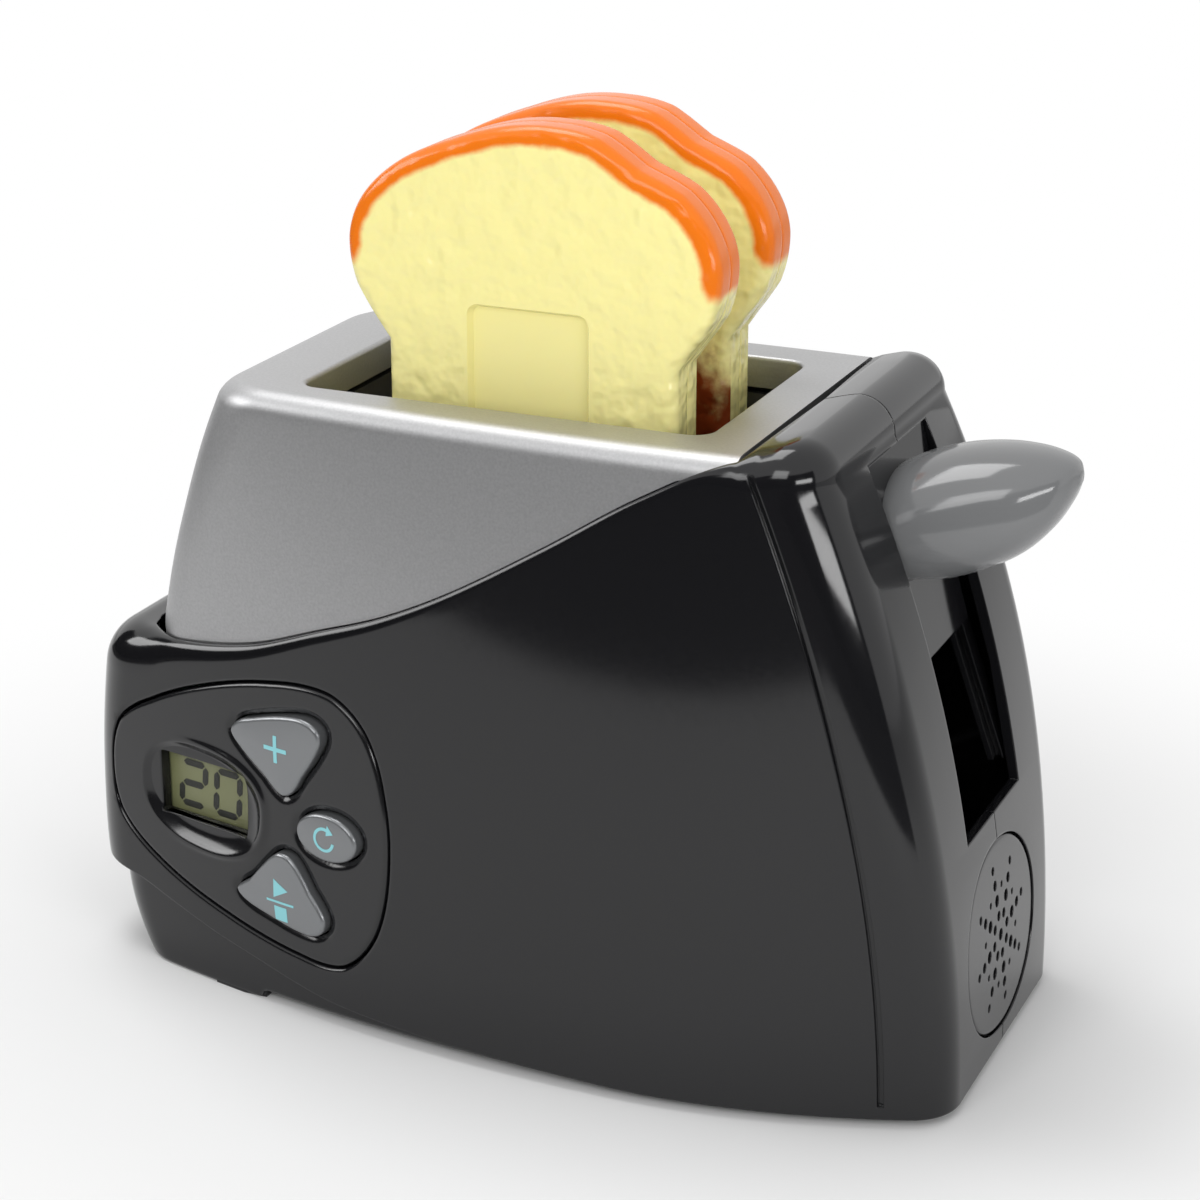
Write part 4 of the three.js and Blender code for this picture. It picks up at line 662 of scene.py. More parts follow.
def grained(name, rgb, roughness, relief, grain=None, gloss=None, waves=None, detail=2, edge=0.0, **shader):
    """A finish with a fine relief and, where it has a grain, with a gloss that varies over it.

    relief is the strength and depth of the bump, grain the size of a speck and gloss the least and most
    roughness. waves is the size and detail of the relief where it isn't the grain, and edge the rounding of
    the edges that catches the light.
    """
    made, tree, bsdf = new_finish(name, rgb, roughness, **shader)
    place = node(tree, "ShaderNodeTexCoord").outputs["Object"]
    if grain:
        pattern = node(tree, "ShaderNodeTexNoise", {"Vector": place, "Scale": 1 / grain, "Detail": detail})
        shine = node(tree, "ShaderNodeMapRange",
                     {"Value": pattern.outputs[0], "To Min": gloss[0], "To Max": gloss[1]})
        tree.links.new(shine.outputs[0], bsdf.inputs["Roughness"])
    if waves:
        pattern = node(tree, "ShaderNodeTexNoise",
                       {"Vector": place, "Scale": 1 / waves[0], "Detail": waves[1]})
    bump = node(tree, "ShaderNodeBump",
                {"Height": pattern.outputs[0], "Strength": relief[0], "Distance": relief[1]})
    if edge:
        rounded = node(tree, "ShaderNodeBevel", {"Radius": edge}, samples=6)
        tree.links.new(rounded.outputs[0], bump.inputs["Normal"])
    tree.links.new(bump.outputs[0], bsdf.inputs["Normal"])
    return made


def plain(name, rgb, roughness, grain, depth, **shader):
    """A finish whose roughness varies by a fifth either way with its grain."""
    return grained(name, rgb, roughness, (0.06, depth), grain, (roughness * 0.8, roughness * 1.2), **shader)


def silver_paint(colours):
    """Sprayed silver paint: a soft sheen that sparkles finely under a thin clear coat.

    Real flakes are under 0.1 mm and wouldn't show, so they are drawn at 0.4 mm, with clouds of 0.7 mm.
    """
    flake, cloud_size = mm(0.435), mm(0.667)
    made, tree, bsdf = new_finish("sprayed_silver_paint", colours.silver, 0.45, metallic=0.85,
                                  coat_weight=0.25, coat_roughness=0.3)
    place = node(tree, "ShaderNodeTexCoord").outputs["Object"]
    flakes = node(tree, "ShaderNodeTexVoronoi", {"Vector": place, "Scale": 1 / flake})
    cloud = node(tree, "ShaderNodeTexNoise", {"Vector": place, "Scale": 1 / cloud_size, "Detail": 3})
    shade = node(tree, "ShaderNodeMapRange",
                 {"Value": cloud.outputs[0], "From Min": 0.3, "From Max": 0.7, "To Min": 0.93,
                  "To Max": 1.07})
    mixed = node(tree, "ShaderNodeVectorMath", {0: tuple(colours.silver), "Scale": shade.outputs[0]},
                 operation="SCALE")
    bump = node(tree, "ShaderNodeBump",
                {"Height": flakes.outputs["Distance"], "Strength": 0.05, "Distance": mm(0.3)})
    tree.links.new(mixed.outputs[0], bsdf.inputs["Base Color"])
    tree.links.new(bump.outputs[0], bsdf.inputs["Normal"])
    return made


def play_bread(colours):
    """Soft moulded vinyl: a waxy face with crumb pits of 4 to 6 mm, a glossy crust, and a brown patch of
    painted shade and reflection where the slices face each other.
    """
    pit, lump, spray_size = mm(3.85), mm(5.88), mm(6.25)
    made, tree, bsdf = new_finish("vinyl_bread_pale", colours.bread, 0.22, ior=1.45, specular_ior_level=0.45,
                                  subsurface_weight=0.12, subsurface_radius=(mm(4), mm(3), mm(1)))
    place = node(tree, "ShaderNodeTexCoord").outputs["Object"]
    crust, gap_shade, even = (node(tree, "ShaderNodeAttribute", attribute_name=name).outputs["Fac"]
                          for name in ("crust", "gap_shade", "smooth_part"))
    spray = node(tree, "ShaderNodeTexNoise", {"Vector": place, "Scale": 1 / spray_size, "Detail": 4})
    ragged = node(tree, "ShaderNodeMath", {0: spray.outputs[0], 1: 0.5}, operation="SUBTRACT")

    def spray_on(below, paint, amount, rag, start, full):
        """A coat of paint: how ragged its edge is, and between which amounts it fades in."""
        border = node(tree, "ShaderNodeMath", {0: ragged.outputs[0], 1: rag, 2: amount},
                      operation="MULTIPLY_ADD")
        cover = node(tree, "ShaderNodeMapRange",
                     {"Value": border.outputs[0], "From Min": start, "From Max": full},
                     interpolation_type="SMOOTHSTEP")
        coat = node(tree, "ShaderNodeMix", {"Factor": cover.outputs[0], 6: below, 7: (*paint, 1)},
                    data_type="RGBA")
        return coat.outputs[2], cover.outputs[0]

    painted, orange = spray_on((*colours.bread, 1), colours.crust, crust, 0.35, 0.34, 0.68)
    # The brown patch is painted shade and orange-brown reflection for the gap between the slices
    shade_coated, _ = spray_on(painted, colours.gap_shade, gap_shade, 1.2, 0.25, 0.85)
    tree.links.new(shade_coated, bsdf.inputs["Base Color"])
    pits = node(tree, "ShaderNodeTexNoise", {"Vector": place, "Scale": 1 / pit, "Detail": 1})
    lumps = node(tree, "ShaderNodeTexVoronoi", {"Vector": place, "Scale": 1 / lump}, feature="SMOOTH_F1")
    crumb = node(tree, "ShaderNodeMath", {0: pits.outputs[0], 1: lumps.outputs["Distance"]}, operation="ADD")
    covered = node(tree, "ShaderNodeMath", {0: orange, 1: even}, operation="MAXIMUM")
    rough = node(tree, "ShaderNodeMapRange", {"Value": covered.outputs[0], "To Min": 1.0, "To Max": 0.06})
    bump = node(tree, "ShaderNodeBump",
                {"Height": crumb.outputs[0], "Strength": rough.outputs[0], "Distance": mm(0.95)})
    tree.links.new(bump.outputs[0], bsdf.inputs["Normal"])
    return made


def finishes(colours):
    """Every finish by name."""
    return {
        # ABS from a polished tool: deep gloss, with the faint waviness of a moulded wall
        "black": grained("moulded_abs_black", colours.black, 0.13, (0.02, mm(1)), mm(1.11), (0.07, 0.14),
                         (mm(18.2), 1.5), edge=mm(0.6), ior=1.49),
        # ABS from a finely etched tool: a little duller than the housing
        "panel": grained("etched_abs_black", colours.panel, 0.26, (0.02, mm(0.1)), mm(0.714), (0.12, 0.22),
                         edge=mm(0.5), ior=1.53),
        # Sheen with a fine sparkle
        "silver": silver_paint(colours),
        # Metallic paint, smoother than the shell's, under a clear coat: a soft glint on each crown
        "keys": grained("sprayed_grey_keys", colours.keys, 0.34, (0.05, mm(0.2)), mm(0.556), (0.28, 0.4),
                        detail=3, metallic=0.7, coat_weight=0.5, coat_roughness=0.12),
        # ABS from a polished tool: clear highlights that bend a little over a thick moulding
        "knob": grained("polished_abs_grey", colours.knob, 0.12, (0.02, mm(1)), waves=(mm(8.33), 1),
                        ior=1.53),
        "bread": play_bread(colours),
        # Drawn wire and rod: bright, with a soft line of light along it
        "steel": plain("bright_steel", colour("#b9bbbd"), 0.3, mm(1.43), mm(0.1), metallic=1.0),
        # Zinc on a pressed head: greyer and duller than the rods
        "zinc": plain("zinc_plated_screw", colour("#8e8f92"), 0.38, mm(1.11), mm(0.1), metallic=1.0),
        # Moulding from an eroded tool: matt, so that the well under the bread stays dark
        "dark": plain("matt_dark_moulding", colour("#3b3b3d"), 0.5, mm(1.67), mm(0.2)),
        # Pressed silicone: dull and without highlights
        "rubber": plain("silicone_rubber", colour("#55585a"), 0.75, mm(1.25), mm(0.2)),
        # Glass-filled board under solder mask: satin green
        "board": plain("circuit_board", colour("#2d5a3c"), 0.45, mm(2), mm(0.1)),
        # Wound wire: the relief stands for turns of about 0.5 mm
        "coil": plain("enamelled_copper", colour("#9a5a2e"), 0.32, mm(0.455), mm(0.2), metallic=0.9),
        # Shrunk film round a cell: smooth, with slight ripples
        "cell": plain("printed_cell_jacket", colour("#3d4248"), 0.35, mm(2.5), mm(0.1)),
        # Pressed paper: dull and fibrous
        "cone": plain("pressed_paper_cone", colour("#26262a"), 0.7, mm(1.11), mm(0.2)),
        # Polariser film over olive glass: flat and satin
        "display": plain("liquid_crystal_display", colours.display, 0.3, mm(0.667), mm(0.02)),
        # The switched-on segments: dark and flat in the glass
        "digits": plain("display_segments", colours.digits, 0.35, mm(0.667), mm(0.02)),
        # Ink stamped on by a soft pad: a thin satin layer
        "signs": plain("pad_printed_signs", colours.signs, 0.4, mm(0.667), mm(0.02)),
        # Thin clear sheet: only its reflections show
        "window": plain("clear_styrene_sheet", colour("#20221c"), 0.06, mm(3.33), mm(0.02), alpha=0.08),
    }


FINISH_NAMES = {}


def stored(name):
    """A finish made by the finishes operator."""
    return bpy.data.materials[FINISH_NAMES[name]]


class TOASTER_OT_finishes(bpy.types.Operator):
    """Make the plastics, paints, metals and the bread's vinyl"""
    bl_idname = "toaster.finishes"
    bl_label = "Finishes"

    def execute(self, context):
        for name, made in finishes(context.scene.toaster_colours).items():
            FINISH_NAMES[name] = made.name
        return {"FINISHED"}


# Housing

FIT = mm(0.45)  # gap round a plate or a key in its opening
PARTING = mm(0.2)  # half the fine line where the two halves meet
GRILLE = {"cx": mm(-1), "cy": mm(31.5), "a": mm(27.5), "b": mm(24.3), "tilt": radians(-8), "sides": 120,
          "power": 0.94}  # the grille's outline across the lever end, in y and z


def ramp(value, start, run):
    """Rises from 0 to 1 over a run, softly at both ends."""
    share = min(max((value - start) / run, 0), 1)
    return share ** 2 * (3 - 2 * share)


def eased(values, passes):
    """The values with their sudden changes spread along the run."""
    for _ in range(passes):
        between = [(a + 2 * b + c) / 4 for a, b, c in zip(values, values[1:], values[2:])]
        values = values[:1] + between + values[-1:]
    return values


def rim_edges(form):
    """How far the casing's shoulder reaches in under the silver shell, at each station before the column."""
    s = form.s
    rim_gap, end_gap, least = mm(0.4), mm(3.4), mm(0.8)
    ledge_start, ledge_run = mm(90), mm(9)
    probe = mm(1)
    edges = []
    for i in range(Plan.count()):
        z = meet(form.casing, i, form.rim, form.top / 2)
        outer, inner = form.casing(z).point(i), form.casing(z, probe).point(i)
        if outer[0] > s.column_x:
            break
        run = mirrored_run(form.silver(z).points())
        reach = reach_to(run, outer, (inner[0] - outer[0], inner[1] - outer[1])) * probe
        gap = rim_gap + (end_gap - rim_gap) * ramp(-outer[0], ledge_start, ledge_run)
        edges.append(max(min(reach, s.left_reach - form.silver_left) - gap, least))
    return eased(edges, 16)


def casing_half(form):
    """The casing's front half in one sheet: its wall, its shoulder under the shell, and the closed column."""
    s = form.s
    floor_gap, tallest, least_slant, ledge = mm(2), mm(11), mm(0.2), mm(3)
    across = (0, 0.25, 0.5, 0.75, 1)
    edges = rim_edges(form)
    depths = eased([min(edge * 0.95, s.rim_rounding) for edge in edges], 8)
    sections = []
    for i in range(Plan.count()):
        z = meet(form.casing, i, form.rim, form.top / 2)
        outer = form.casing(z).point(i)
        low = max(meet(form.casing, i, form.sweep, floor_gap), floor_gap)
        in_column = outer[0] > s.column_x
        if in_column:
            depth = rise = s.crest_radius
            z = form.crest(form.casing(s.crest_height - depth, depth).point(i)[0])
        else:
            edge, depth = max(edges[i], s.wall), depths[i]
            rise = min(depth * 2.2, tallest)
        high = z - rise

        def point(height, inset, plan_height=None):
            x, y = form.casing(height if plan_height is None else plan_height, inset).point(i)
            return x, min(y, -PARTING), height

        section = [point(h, 0) for h in spread(low, high, 40)]
        turn = spread(0, pi / 2, 14)[1:]
        if in_column:
            section += [point(high + rise * sin(a), depth * (1 - cos(a)), high) for a in turn]
            x, y, _ = section[-1]
            section += [(x, min(y * share, -PARTING), z) for share in reversed(across[:-1])]
            section += [(x, min(y * share, -PARTING), z - s.wall) for share in across]
            radius = rise - s.wall
            section += [point(high + radius * cos(a), s.wall + radius * (1 - sin(a)), high) for a in turn]
            last = high
        else:
            section += [point(high + rise * sin(a), depth * (1 - cos(a))) for a in turn]
            section += [point(z, inset) for inset in spread(depth, edge, 4)[1:]]
            slant = z - s.wall - max(edge - s.wall, least_slant)
            down, back = spread(z - s.wall, slant, 4), spread(edge, s.wall, 4)
            section += [point(h, inset) for h, inset in zip(down, back)]
            last = slant - ledge
            section += [point(h, s.wall) for h in spread(slant, last, len(turn))[1:]]
        section += [point(h, s.wall) for h in spread(last, low, 5)[1:]]
        sections.append(section)
    rows = len(sections[0])
    return formed_grid(rows, len(sections) - 1, lambda r, c: sections[c][r % rows])


class TOASTER_OT_casings(bpy.types.Operator):
    """Mould the two black halves with their rim, column, groove and slot"""
    bl_idname = "toaster.casings"
    bl_label = "Casing halves"

    def execute(self, context):
        form = HousingForm(context.scene.toaster_sizes)
        for side, name in ((-1, "front_casing"), (1, "rear_casing")):
            bm = casing_half(form)
            if side > 0:
                bmesh.ops.scale(bm, verts=bm.verts, vec=(1, -1, 1))
                bmesh.ops.recalc_face_normals(bm, faces=bm.faces)
            half = new_piece(name + "_half", bm)
            self.cut_groove(half, form, side)
            self.open_end(half, form.s)
            if side < 0:
                self.open_panel(half, form)
            else:
                self.sink_screws(half, form)
            settle(smooth(half), "housing", "black_shell", stored("black"), name)
        return {"FINISHED"}

    def cut_groove(self, half, form, side):
        """Cuts the fine groove that runs down the side wall beside the lever end."""
        half_width, depth, clear = mm(0.8), mm(0.9), mm(3)
        from_end, drift, low, high = mm(15), mm(1.5), mm(6), mm(157)
        line = [(form.right_end(z) - from_end - drift * z / form.top, z) for z in spread(low, high, 40)]

        def corner(row, column):
            x, z = line[column]
            wide = half_width if row in (1, 2) else -half_width
            out = clear if row in (2, 3) else -depth
            return x + wide, side * (out - form.front_y(x, z)), z

        carve(half, formed_grid(4, len(line) - 1, corner))

    def open_end(self, half, s):
        """Opens the lever's slot and the round seat of the grille."""
        slot_half, slot_low, slot_high = mm(21.5), mm(63), mm(153.3)
        seat_x, beyond = mm(90), mm(150)
        slot = rectangle(-slot_half, slot_half, slot_low, slot_high)
        carve(half, end_prism(slot, s.crest_x + s.crest_radius / 2, beyond))
        carve(half, end_prism(offset(ellipse(**GRILLE), FIT), seat_x, beyond))

    def open_panel(self, half, form):
        """Cuts the leaf-shaped hole for the control panel, rounded at its edge."""
        edge, inside, outside = mm(1.1), -mm(12), mm(3)
        rows = [(-FIT, 0, inside), (-FIT, 1, inside), (-FIT, 1, -edge)]
        rows += [(-FIT - inset, 1, rise - edge) for inset, rise in quarter_round(edge, 6)[1:]]
        rows += [(-FIT - edge, 1, outside), (-FIT - edge, 0, outside)]
        carve(half, crowned(panel_curve(form.s, LEAF, 240), rows, PanelFrame(form).on_wall))

    def sink_screws(self, half, form):
        """Gives the rear half a post and a round well for each of its four screws."""
        head, shelf, beyond = mm(2.3), mm(2), mm(80)
        post_radius, well_radius = mm(5), mm(3.3)
        low_z, high_z, skin = mm(10), mm(158), mm(1)
        for number in (1, 2, 3, 4):
            low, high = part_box(f"casing_screw_{number}")
            x, z = (low.x + high.x) / 2 - SHIFT, (low.z + high.z) / 2
            seat = high.y - head
            post = tool(side_prism(circle(x, z, post_radius, 40), seat - shelf, beyond))
            carve(post, plan_block(form.casing, spread(low_z, high_z, 40), skin), "INTERSECT")
            carve(half, unmade(post), "UNION")
            carve(half, side_prism(circle(x, z, well_radius, 40), seat, beyond))


class TOASTER_OT_upper_shell(bpy.types.Operator):
    """Mould the silver shell with the bread opening and its deep lip"""
    bl_idname = "toaster.upper_shell"
    bl_label = "Silver upper shell"

    def execute(self, context):
        s = context.scene.toaster_sizes
        form = HousingForm(s)
        wall, lip_wall, lip, lip_depth, tuck = mm(2.2), mm(2), mm(1.2), mm(8), mm(4)
        probe, farthest, clear, least = mm(1), mm(45), mm(0.8), mm(0.15)
        step_up, foot, shortest, end_gap = mm(0.2), mm(0.3), mm(1), mm(0.3)
        edge, ceiling = form.top - form.silver_rounding, form.top - wall
        half = []
        for i in range(Plan.count()):
            low = meet(form.silver, i, form.rim, form.top / 2)
            own, within = form.silver(low).point(i), form.silver(low, probe).point(i)
            run = mirrored_run(form.casing(low).points())
            room = min(reach_to(run, own, (own[0] - within[0], own[1] - within[1])) * probe, farthest)
            skirt = max(s.wall + clear - room, least)
            inner = skirt + wall

            def point(z, inset):
                return (*form.silver(z, inset).point(i), z)

            def opening(z, inset):
                return (*form.opening(inset).point(i), z)

            section = [point(low - tuck, skirt), point(low + step_up, skirt)]
            section += [point(z, 0) for z in spread(min(low + foot, edge - shortest), edge, 30)]
            section += [point(edge + form.silver_rounding * sin(pi / 2 * r / 10), 0) for r in range(1, 11)]
            section += [opening(form.top - back, lip - rise) for back, rise in quarter_round(lip, 5)]
            section += [opening(form.top - lip_depth, 0), opening(form.top - lip_depth, lip_wall)]
            section += [opening(ceiling, lip_wall), point(min(ceiling, edge), inner)]
            section += [point((ceiling + low) / 2, inner), point(low - tuck, inner)]
            half.append(section)
        rows = len(half[0])
        around = half + [[(x, -y, z) for x, y, z in section] for section in reversed(half[1:-1])]
        count = len(around)
        bm = formed_grid(rows, count, lambda r, c: around[c % count][r % rows])
        bmesh.ops.bisect_plane(bm, geom=bm.verts[:] + bm.edges[:] + bm.faces[:],
                               plane_co=(s.column_x - end_gap, 0, 0), plane_no=(1, 0, 0), clear_outer=True)
        bmesh.ops.holes_fill(bm, edges=bm.edges, sides=0)
        bmesh.ops.recalc_face_normals(bm, faces=bm.faces)
        shell = new_piece("silver_shell", bm)
        settle(smooth(shell, 40), "housing", "silver_shell", stored("silver"), "upper_shell")
        return {"FINISHED"}


# Controls

GLASS_PLACE = -0.214, -0.043  # middle of the display on the panel, as shares of the panel's width and height
GLASS_SIZE = mm(29.5), mm(17)


def panel_curve(s, shares, steps):
    """A smooth outline on the panel, from shares of its width and height."""
    return through([(u * s.panel_width, v * s.panel_height) for u, v in shares], steps)


def glass_middle(s):
    return GLASS_PLACE[0] * s.panel_width, GLASS_PLACE[1] * s.panel_height


def key_outlines(s):
    """Outlines of the upper, middle and lower keys on the panel's plane."""
    half_width, half_height = mm(9.5), mm(6.3)
    middle = ellipse(0.251 * s.panel_width, -0.051 * s.panel_height, half_width, half_height, radians(1), 110)
    return panel_curve(s, ADD_KEY, 140), middle, panel_curve(s, START_KEY, 140)


class TOASTER_OT_panel(bpy.types.Operator):
    """Mould the leaf-shaped control panel with its dished display window"""
    bl_idname = "toaster.panel"
    bl_label = "Control panel"

    def execute(self, context):
        s = context.scene.toaster_sizes
        panel = PanelFrame(HousingForm(s))
        key_gaps = [offset(outline, FIT) for outline in key_outlines(s)]
        relief = self.relief(s, [point for outline in key_gaps for point in outline])
        back, side, rounding, face_from = -mm(3.8), -mm(1.4), mm(1.2), -mm(1.7)

        def place(u, v, depth):
            return panel.on_wall(u, v, depth + (relief(u, v) if depth > face_from else 0))

        rows = [(0, 0, back), (0, 0.5, back), (0, 1, back), (0, 1, side)]
        rows += [(inset, 1, rise - rounding) for inset, rise in quarter_round(rounding, 6)]
        rows += [(rounding, share, 0) for share in spread(0.99, 0.0, 110)]
        plate = new_piece("control_panel_plate", crowned(panel_curve(s, LEAF, 380), rows, place))
        cx, cy = glass_middle(s)
        wide, high = GLASS_SIZE
        corner, behind, beyond = mm(0.8), -mm(12), mm(40)
        glass = through_corners(rectangle(cx - wide / 2, cx + wide / 2, cy - high / 2, cy + high / 2), corner)
        for outline in [glass] + key_gaps:
            carve(plate, prism([panel.at(u, v, behind) for u, v in outline], panel.out * beyond))
        settle(smooth(plate, 40), "housing", "black_shell", stored("panel"), "control_panel")
        return {"FINISHED"}

    def relief(self, s, key_points):
        """Height over the panel's face: it dips round the keys and into the eye-shaped display well."""
        cx, cy, tilt = -0.214 * s.panel_width, -0.05 * s.panel_height, radians(-3)
        eye_half_width, eye_half_height, eye_power, eye_depth = mm(20.5), mm(13.5), 2.4, mm(1.95)
        slope = 0.3  # how much of the way in the dish takes to reach its depth
        lip_height, lip_ring, lip_spread, lip_from = mm(0.55), 1.06, 0.06, 0.55
        dip_reach, dip_depth = mm(2.2), mm(1.1)
        near_keys = kdtree.KDTree(len(key_points))
        for i, (u, v) in enumerate(key_points):
            near_keys.insert((u, v, 0), i)
        near_keys.balance()

        def height(u, v):
            dip = max(1 - near_keys.find((u, v, 0))[2] / dip_reach, 0) ** 2 * dip_depth
            du = ((u - cx) * cos(tilt) + (v - cy) * sin(tilt)) / eye_half_width
            dv = ((v - cy) * cos(tilt) - (u - cx) * sin(tilt)) / eye_half_height
            ring = (abs(du) ** eye_power + abs(dv) ** eye_power) ** (1 / eye_power)
            dish = eye_depth * sin(min(max((1 - ring) / slope, 0), 1) * pi / 2)
            lip = lip_height * exp(-((ring - lip_ring) / lip_spread) ** 2) * min(max(lip_from + du, 0), 1)
            return lip - dish - dip

        return height


class TOASTER_OT_keys(bpy.types.Operator):
    """Mould the three crowned keys and print their signs"""
    bl_idname = "toaster.keys"
    bl_label = "Keys"

    def execute(self, context):
        s = context.scene.toaster_sizes
        panel = PanelFrame(HousingForm(s))
        stand, thickness, rounding, crown = mm(1.6), mm(5), mm(1.1), mm(0.45)
        for name, outline in zip(("add", "reset", "start"), key_outlines(s)):
            cx, cy = centre_of(outline)
            face = panel.surface(cx, cy) + stand
            rows = [(0, 0, face - thickness), (0, 1, face - thickness), (0, 1, face - rounding)]
            rows += [(inset, 1, face - (rounding - rise)) for inset, rise in quarter_round(rounding, 8)]
            rows += [(rounding, share, face + crown * (1 - share ** 2)) for share in spread(0.96, 0, 14)]
            key = new_piece(name + "_key_cap", crowned(outline, rows, panel.at))
            settle(smooth(key, 45), name + "_key", "grey_button", stored("keys"), name + "_button")
            shapes = [[(cx + mm(u), cy + mm(v)) for u, v in shape] for shape in key_sign(name)]
            self.print_sign(key, panel, name, shapes)
        return {"FINISHED"}

    def print_sign(self, key, panel, name, shapes):
        """Lays flat shapes on a key's crown as a thin printed layer."""
        above, film_gap, film = mm(30), mm(0.02), mm(0.05)
        crown = bvhtree.BVHTree.FromObject(key, bpy.context.evaluated_depsgraph_get())
        shift = Vector((SHIFT, 0, 0))
        bm = bmesh.new()
        for shape in shapes:
            bm.faces.new([bm.verts.new(panel.at(u, v, above)) for u, v in shape])
        bm.normal_update()
        bmesh.ops.triangulate(bm, faces=bm.faces)
        bmesh.ops.subdivide_edges(bm, edges=bm.edges, cuts=5, use_grid_fill=True)
        for vert in bm.verts:
            hit = crown.ray_cast(vert.co + shift, -panel.out)[0]
            if hit is None:
                raise RuntimeError(f"the sign of the {name} key runs off its crown")
            vert.co = hit + panel.out * film_gap - shift
        push_out(bm, bm.faces[:], panel.out * film)
        bmesh.ops.recalc_face_normals(bm, faces=bm.faces)
        settle(new_piece(name + "_key_sign", bm), name + "_key", "grey_button", stored("signs"))


def key_sign(name):
    """Plain sign for a key, in millimetres: a plus, a round arrow, or a triangle over a line and a square."""
    if name == "add":
        arm, half = 3.6, 0.55
        turns = (0, pi / 2, pi, 3 * pi / 2)
        return [[(u * cos(t) - v * sin(t), u * sin(t) + v * cos(t)) for t in turns
                 for u, v in ((half, half), (half, arm), (-half, arm))]]
    if name == "reset":
        radius, half, start = 2.9, 0.4, radians(60)
        arc = spread(start, radians(350), 24)
        ring = [((radius + half) * cos(a), (radius + half) * sin(a)) for a in arc]
        ring += [((radius - half) * cos(a), (radius - half) * sin(a)) for a in reversed(arc)]
        point = [(1.5, -0.5), (-0.4, 1.5), (-0.7, -1.2)]
        return [ring, [(radius * cos(start) + u, radius * sin(start) + v) for u, v in point]]
    drop = -1.4
    play = [(-2, 1.1), (2.6, 3.6), (-2, 6.1)]
    bar, stop = rectangle(-4.4, 4.4, -0.3, 0.3), rectangle(-2, 2, -5.2, -1.2)
    return [[(u, v + drop) for u, v in shape] for shape in (play, bar, stop)]


SEGMENTS = {"2": "abged", "0": "abcdef"}


class TOASTER_OT_display(bpy.types.Operator):
    """Fit the display, its frame and its window, and draw two plain digits"""
    bl_idname = "toaster.display"
    bl_label = "Display"

    def execute(self, context):
        s = context.scene.toaster_sizes
        panel = PanelFrame(HousingForm(s))
        frame_edge = mm(0.3)
        from_node("display_frame", "lcd_bezel", "housing", "black_shell", stored("panel"), 40, frame_edge)
        from_node("display_window", "lcd_window", "housing", "clear_window", stored("window"))
        from_node("display_glass", "lcd_display", "housing", "display_olive", stored("display"))
        glass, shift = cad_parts["lcd_display"].data.vertices, Vector((SHIFT, 0, 0))
        level = max((vert.co - shift - panel.origin).dot(panel.out) for vert in glass)
        cx, cy = glass_middle(s)
        first, second, lowered, film, slant = mm(11), mm(0.7), mm(0.6), mm(0.05), 0.09
        bm = bmesh.new()
        for number, left in (("2", cx - first), ("0", cx + second)):
            for corners in self.bars(number):
                spot = [panel.at(left + p.x + p.y * slant, cy - lowered + p.y, level + film) for p in corners]
                push_out(bm, [bm.faces.new([bm.verts.new(p) for p in spot])], panel.out * film)
        bmesh.ops.recalc_face_normals(bm, faces=bm.faces)
        settle(new_piece("display_digits", bm), "housing", "display_olive", stored("digits"))
        return {"FINISHED"}

    def bars(self, number):
        """The pointed bars that make up a digit, each as six corners."""
        wide, half, bar_half, gap = mm(7.8), mm(5.8), mm(0.95), mm(0.3)
        spots = {
            "a": ((0, half), (wide, half)), "g": ((0, 0), (wide, 0)), "d": ((0, -half), (wide, -half)),
            "f": ((0, 0), (0, half)), "b": ((wide, 0), (wide, half)),
            "e": ((0, -half), (0, 0)), "c": ((wide, -half), (wide, 0)),
        }
        found = []
        for mark in SEGMENTS[number]:
            start, end = (Vector(spot) for spot in spots[mark])
            along = (end - start).normalized()
            across, taper = Vector((-along.y, along.x)) * bar_half, along * bar_half
            a, b = start + along * gap, end - along * gap
            found.append([a, a + across + taper, b + across - taper,
                          b, b - across - taper, a - across + taper])
        return found


class TOASTER_OT_grille(bpy.types.Operator):
    """Mould the round speaker grille with its star of holes"""
    bl_idname = "toaster.grille"
    bl_label = "Speaker grille"

    def execute(self, context):
        form = HousingForm(context.scene.toaster_sizes)

        def place(y, z, depth):
            """A point on the lever end, which turns away at the casing's corner."""
            plan = form.casing(z, -depth)
            (_, corner_y), radius, _ = plan.right
            over = max(abs(y) + corner_y, 0)
            return plan.ends[1] - (radius - sqrt(max(radius ** 2 - over ** 2, 0))), y, z

        back, side, rounding = -mm(4.2), mm(1.2), mm(0.9)
        rows = [(0, 0, back), (0, 0.5, back), (0, 1, back), (0, 1, -side)]
        rows += [(inset, 1, rise - side) for inset, rise in quarter_round(rounding, 5)]
        rows += [(rounding, share, rounding - side) for share in spread(0.97, 0, 20)]
        plate = new_piece("speaker_grille_plate", crowned(ellipse(**GRILLE), rows, place))
        through_from, beyond = mm(80), mm(150)
        for reach, angle, radius in self.star():
            y, z = GRILLE["cx"] + mm(reach) * cos(angle), GRILLE["cy"] + mm(reach) * sin(angle)
            carve(plate, end_prism(circle(y, z, mm(radius), 20), through_from, beyond))
        settle(smooth(plate, 40), "housing", "black_shell", stored("panel"), "speaker_grille")
        return {"FINISHED"}

    def star(self):
        """Reach, angle and radius of each hole, in millimetres: eight arms, with small holes between."""
        arms, arm_holes, between = 8, ((5.4, 1.3), (9.8, 1.55), (14.2, 1.35), (18.4, 1.1)), (12.6, 0.85)
        holes = [(0, 0, 1.55)]
        for arm in range(arms):
            angle = 2 * pi * arm / arms + radians(11)
            holes += [(reach, angle, radius) for reach, radius in arm_holes]
            holes.append((between[0], angle + pi / arms, between[1]))
        return holes


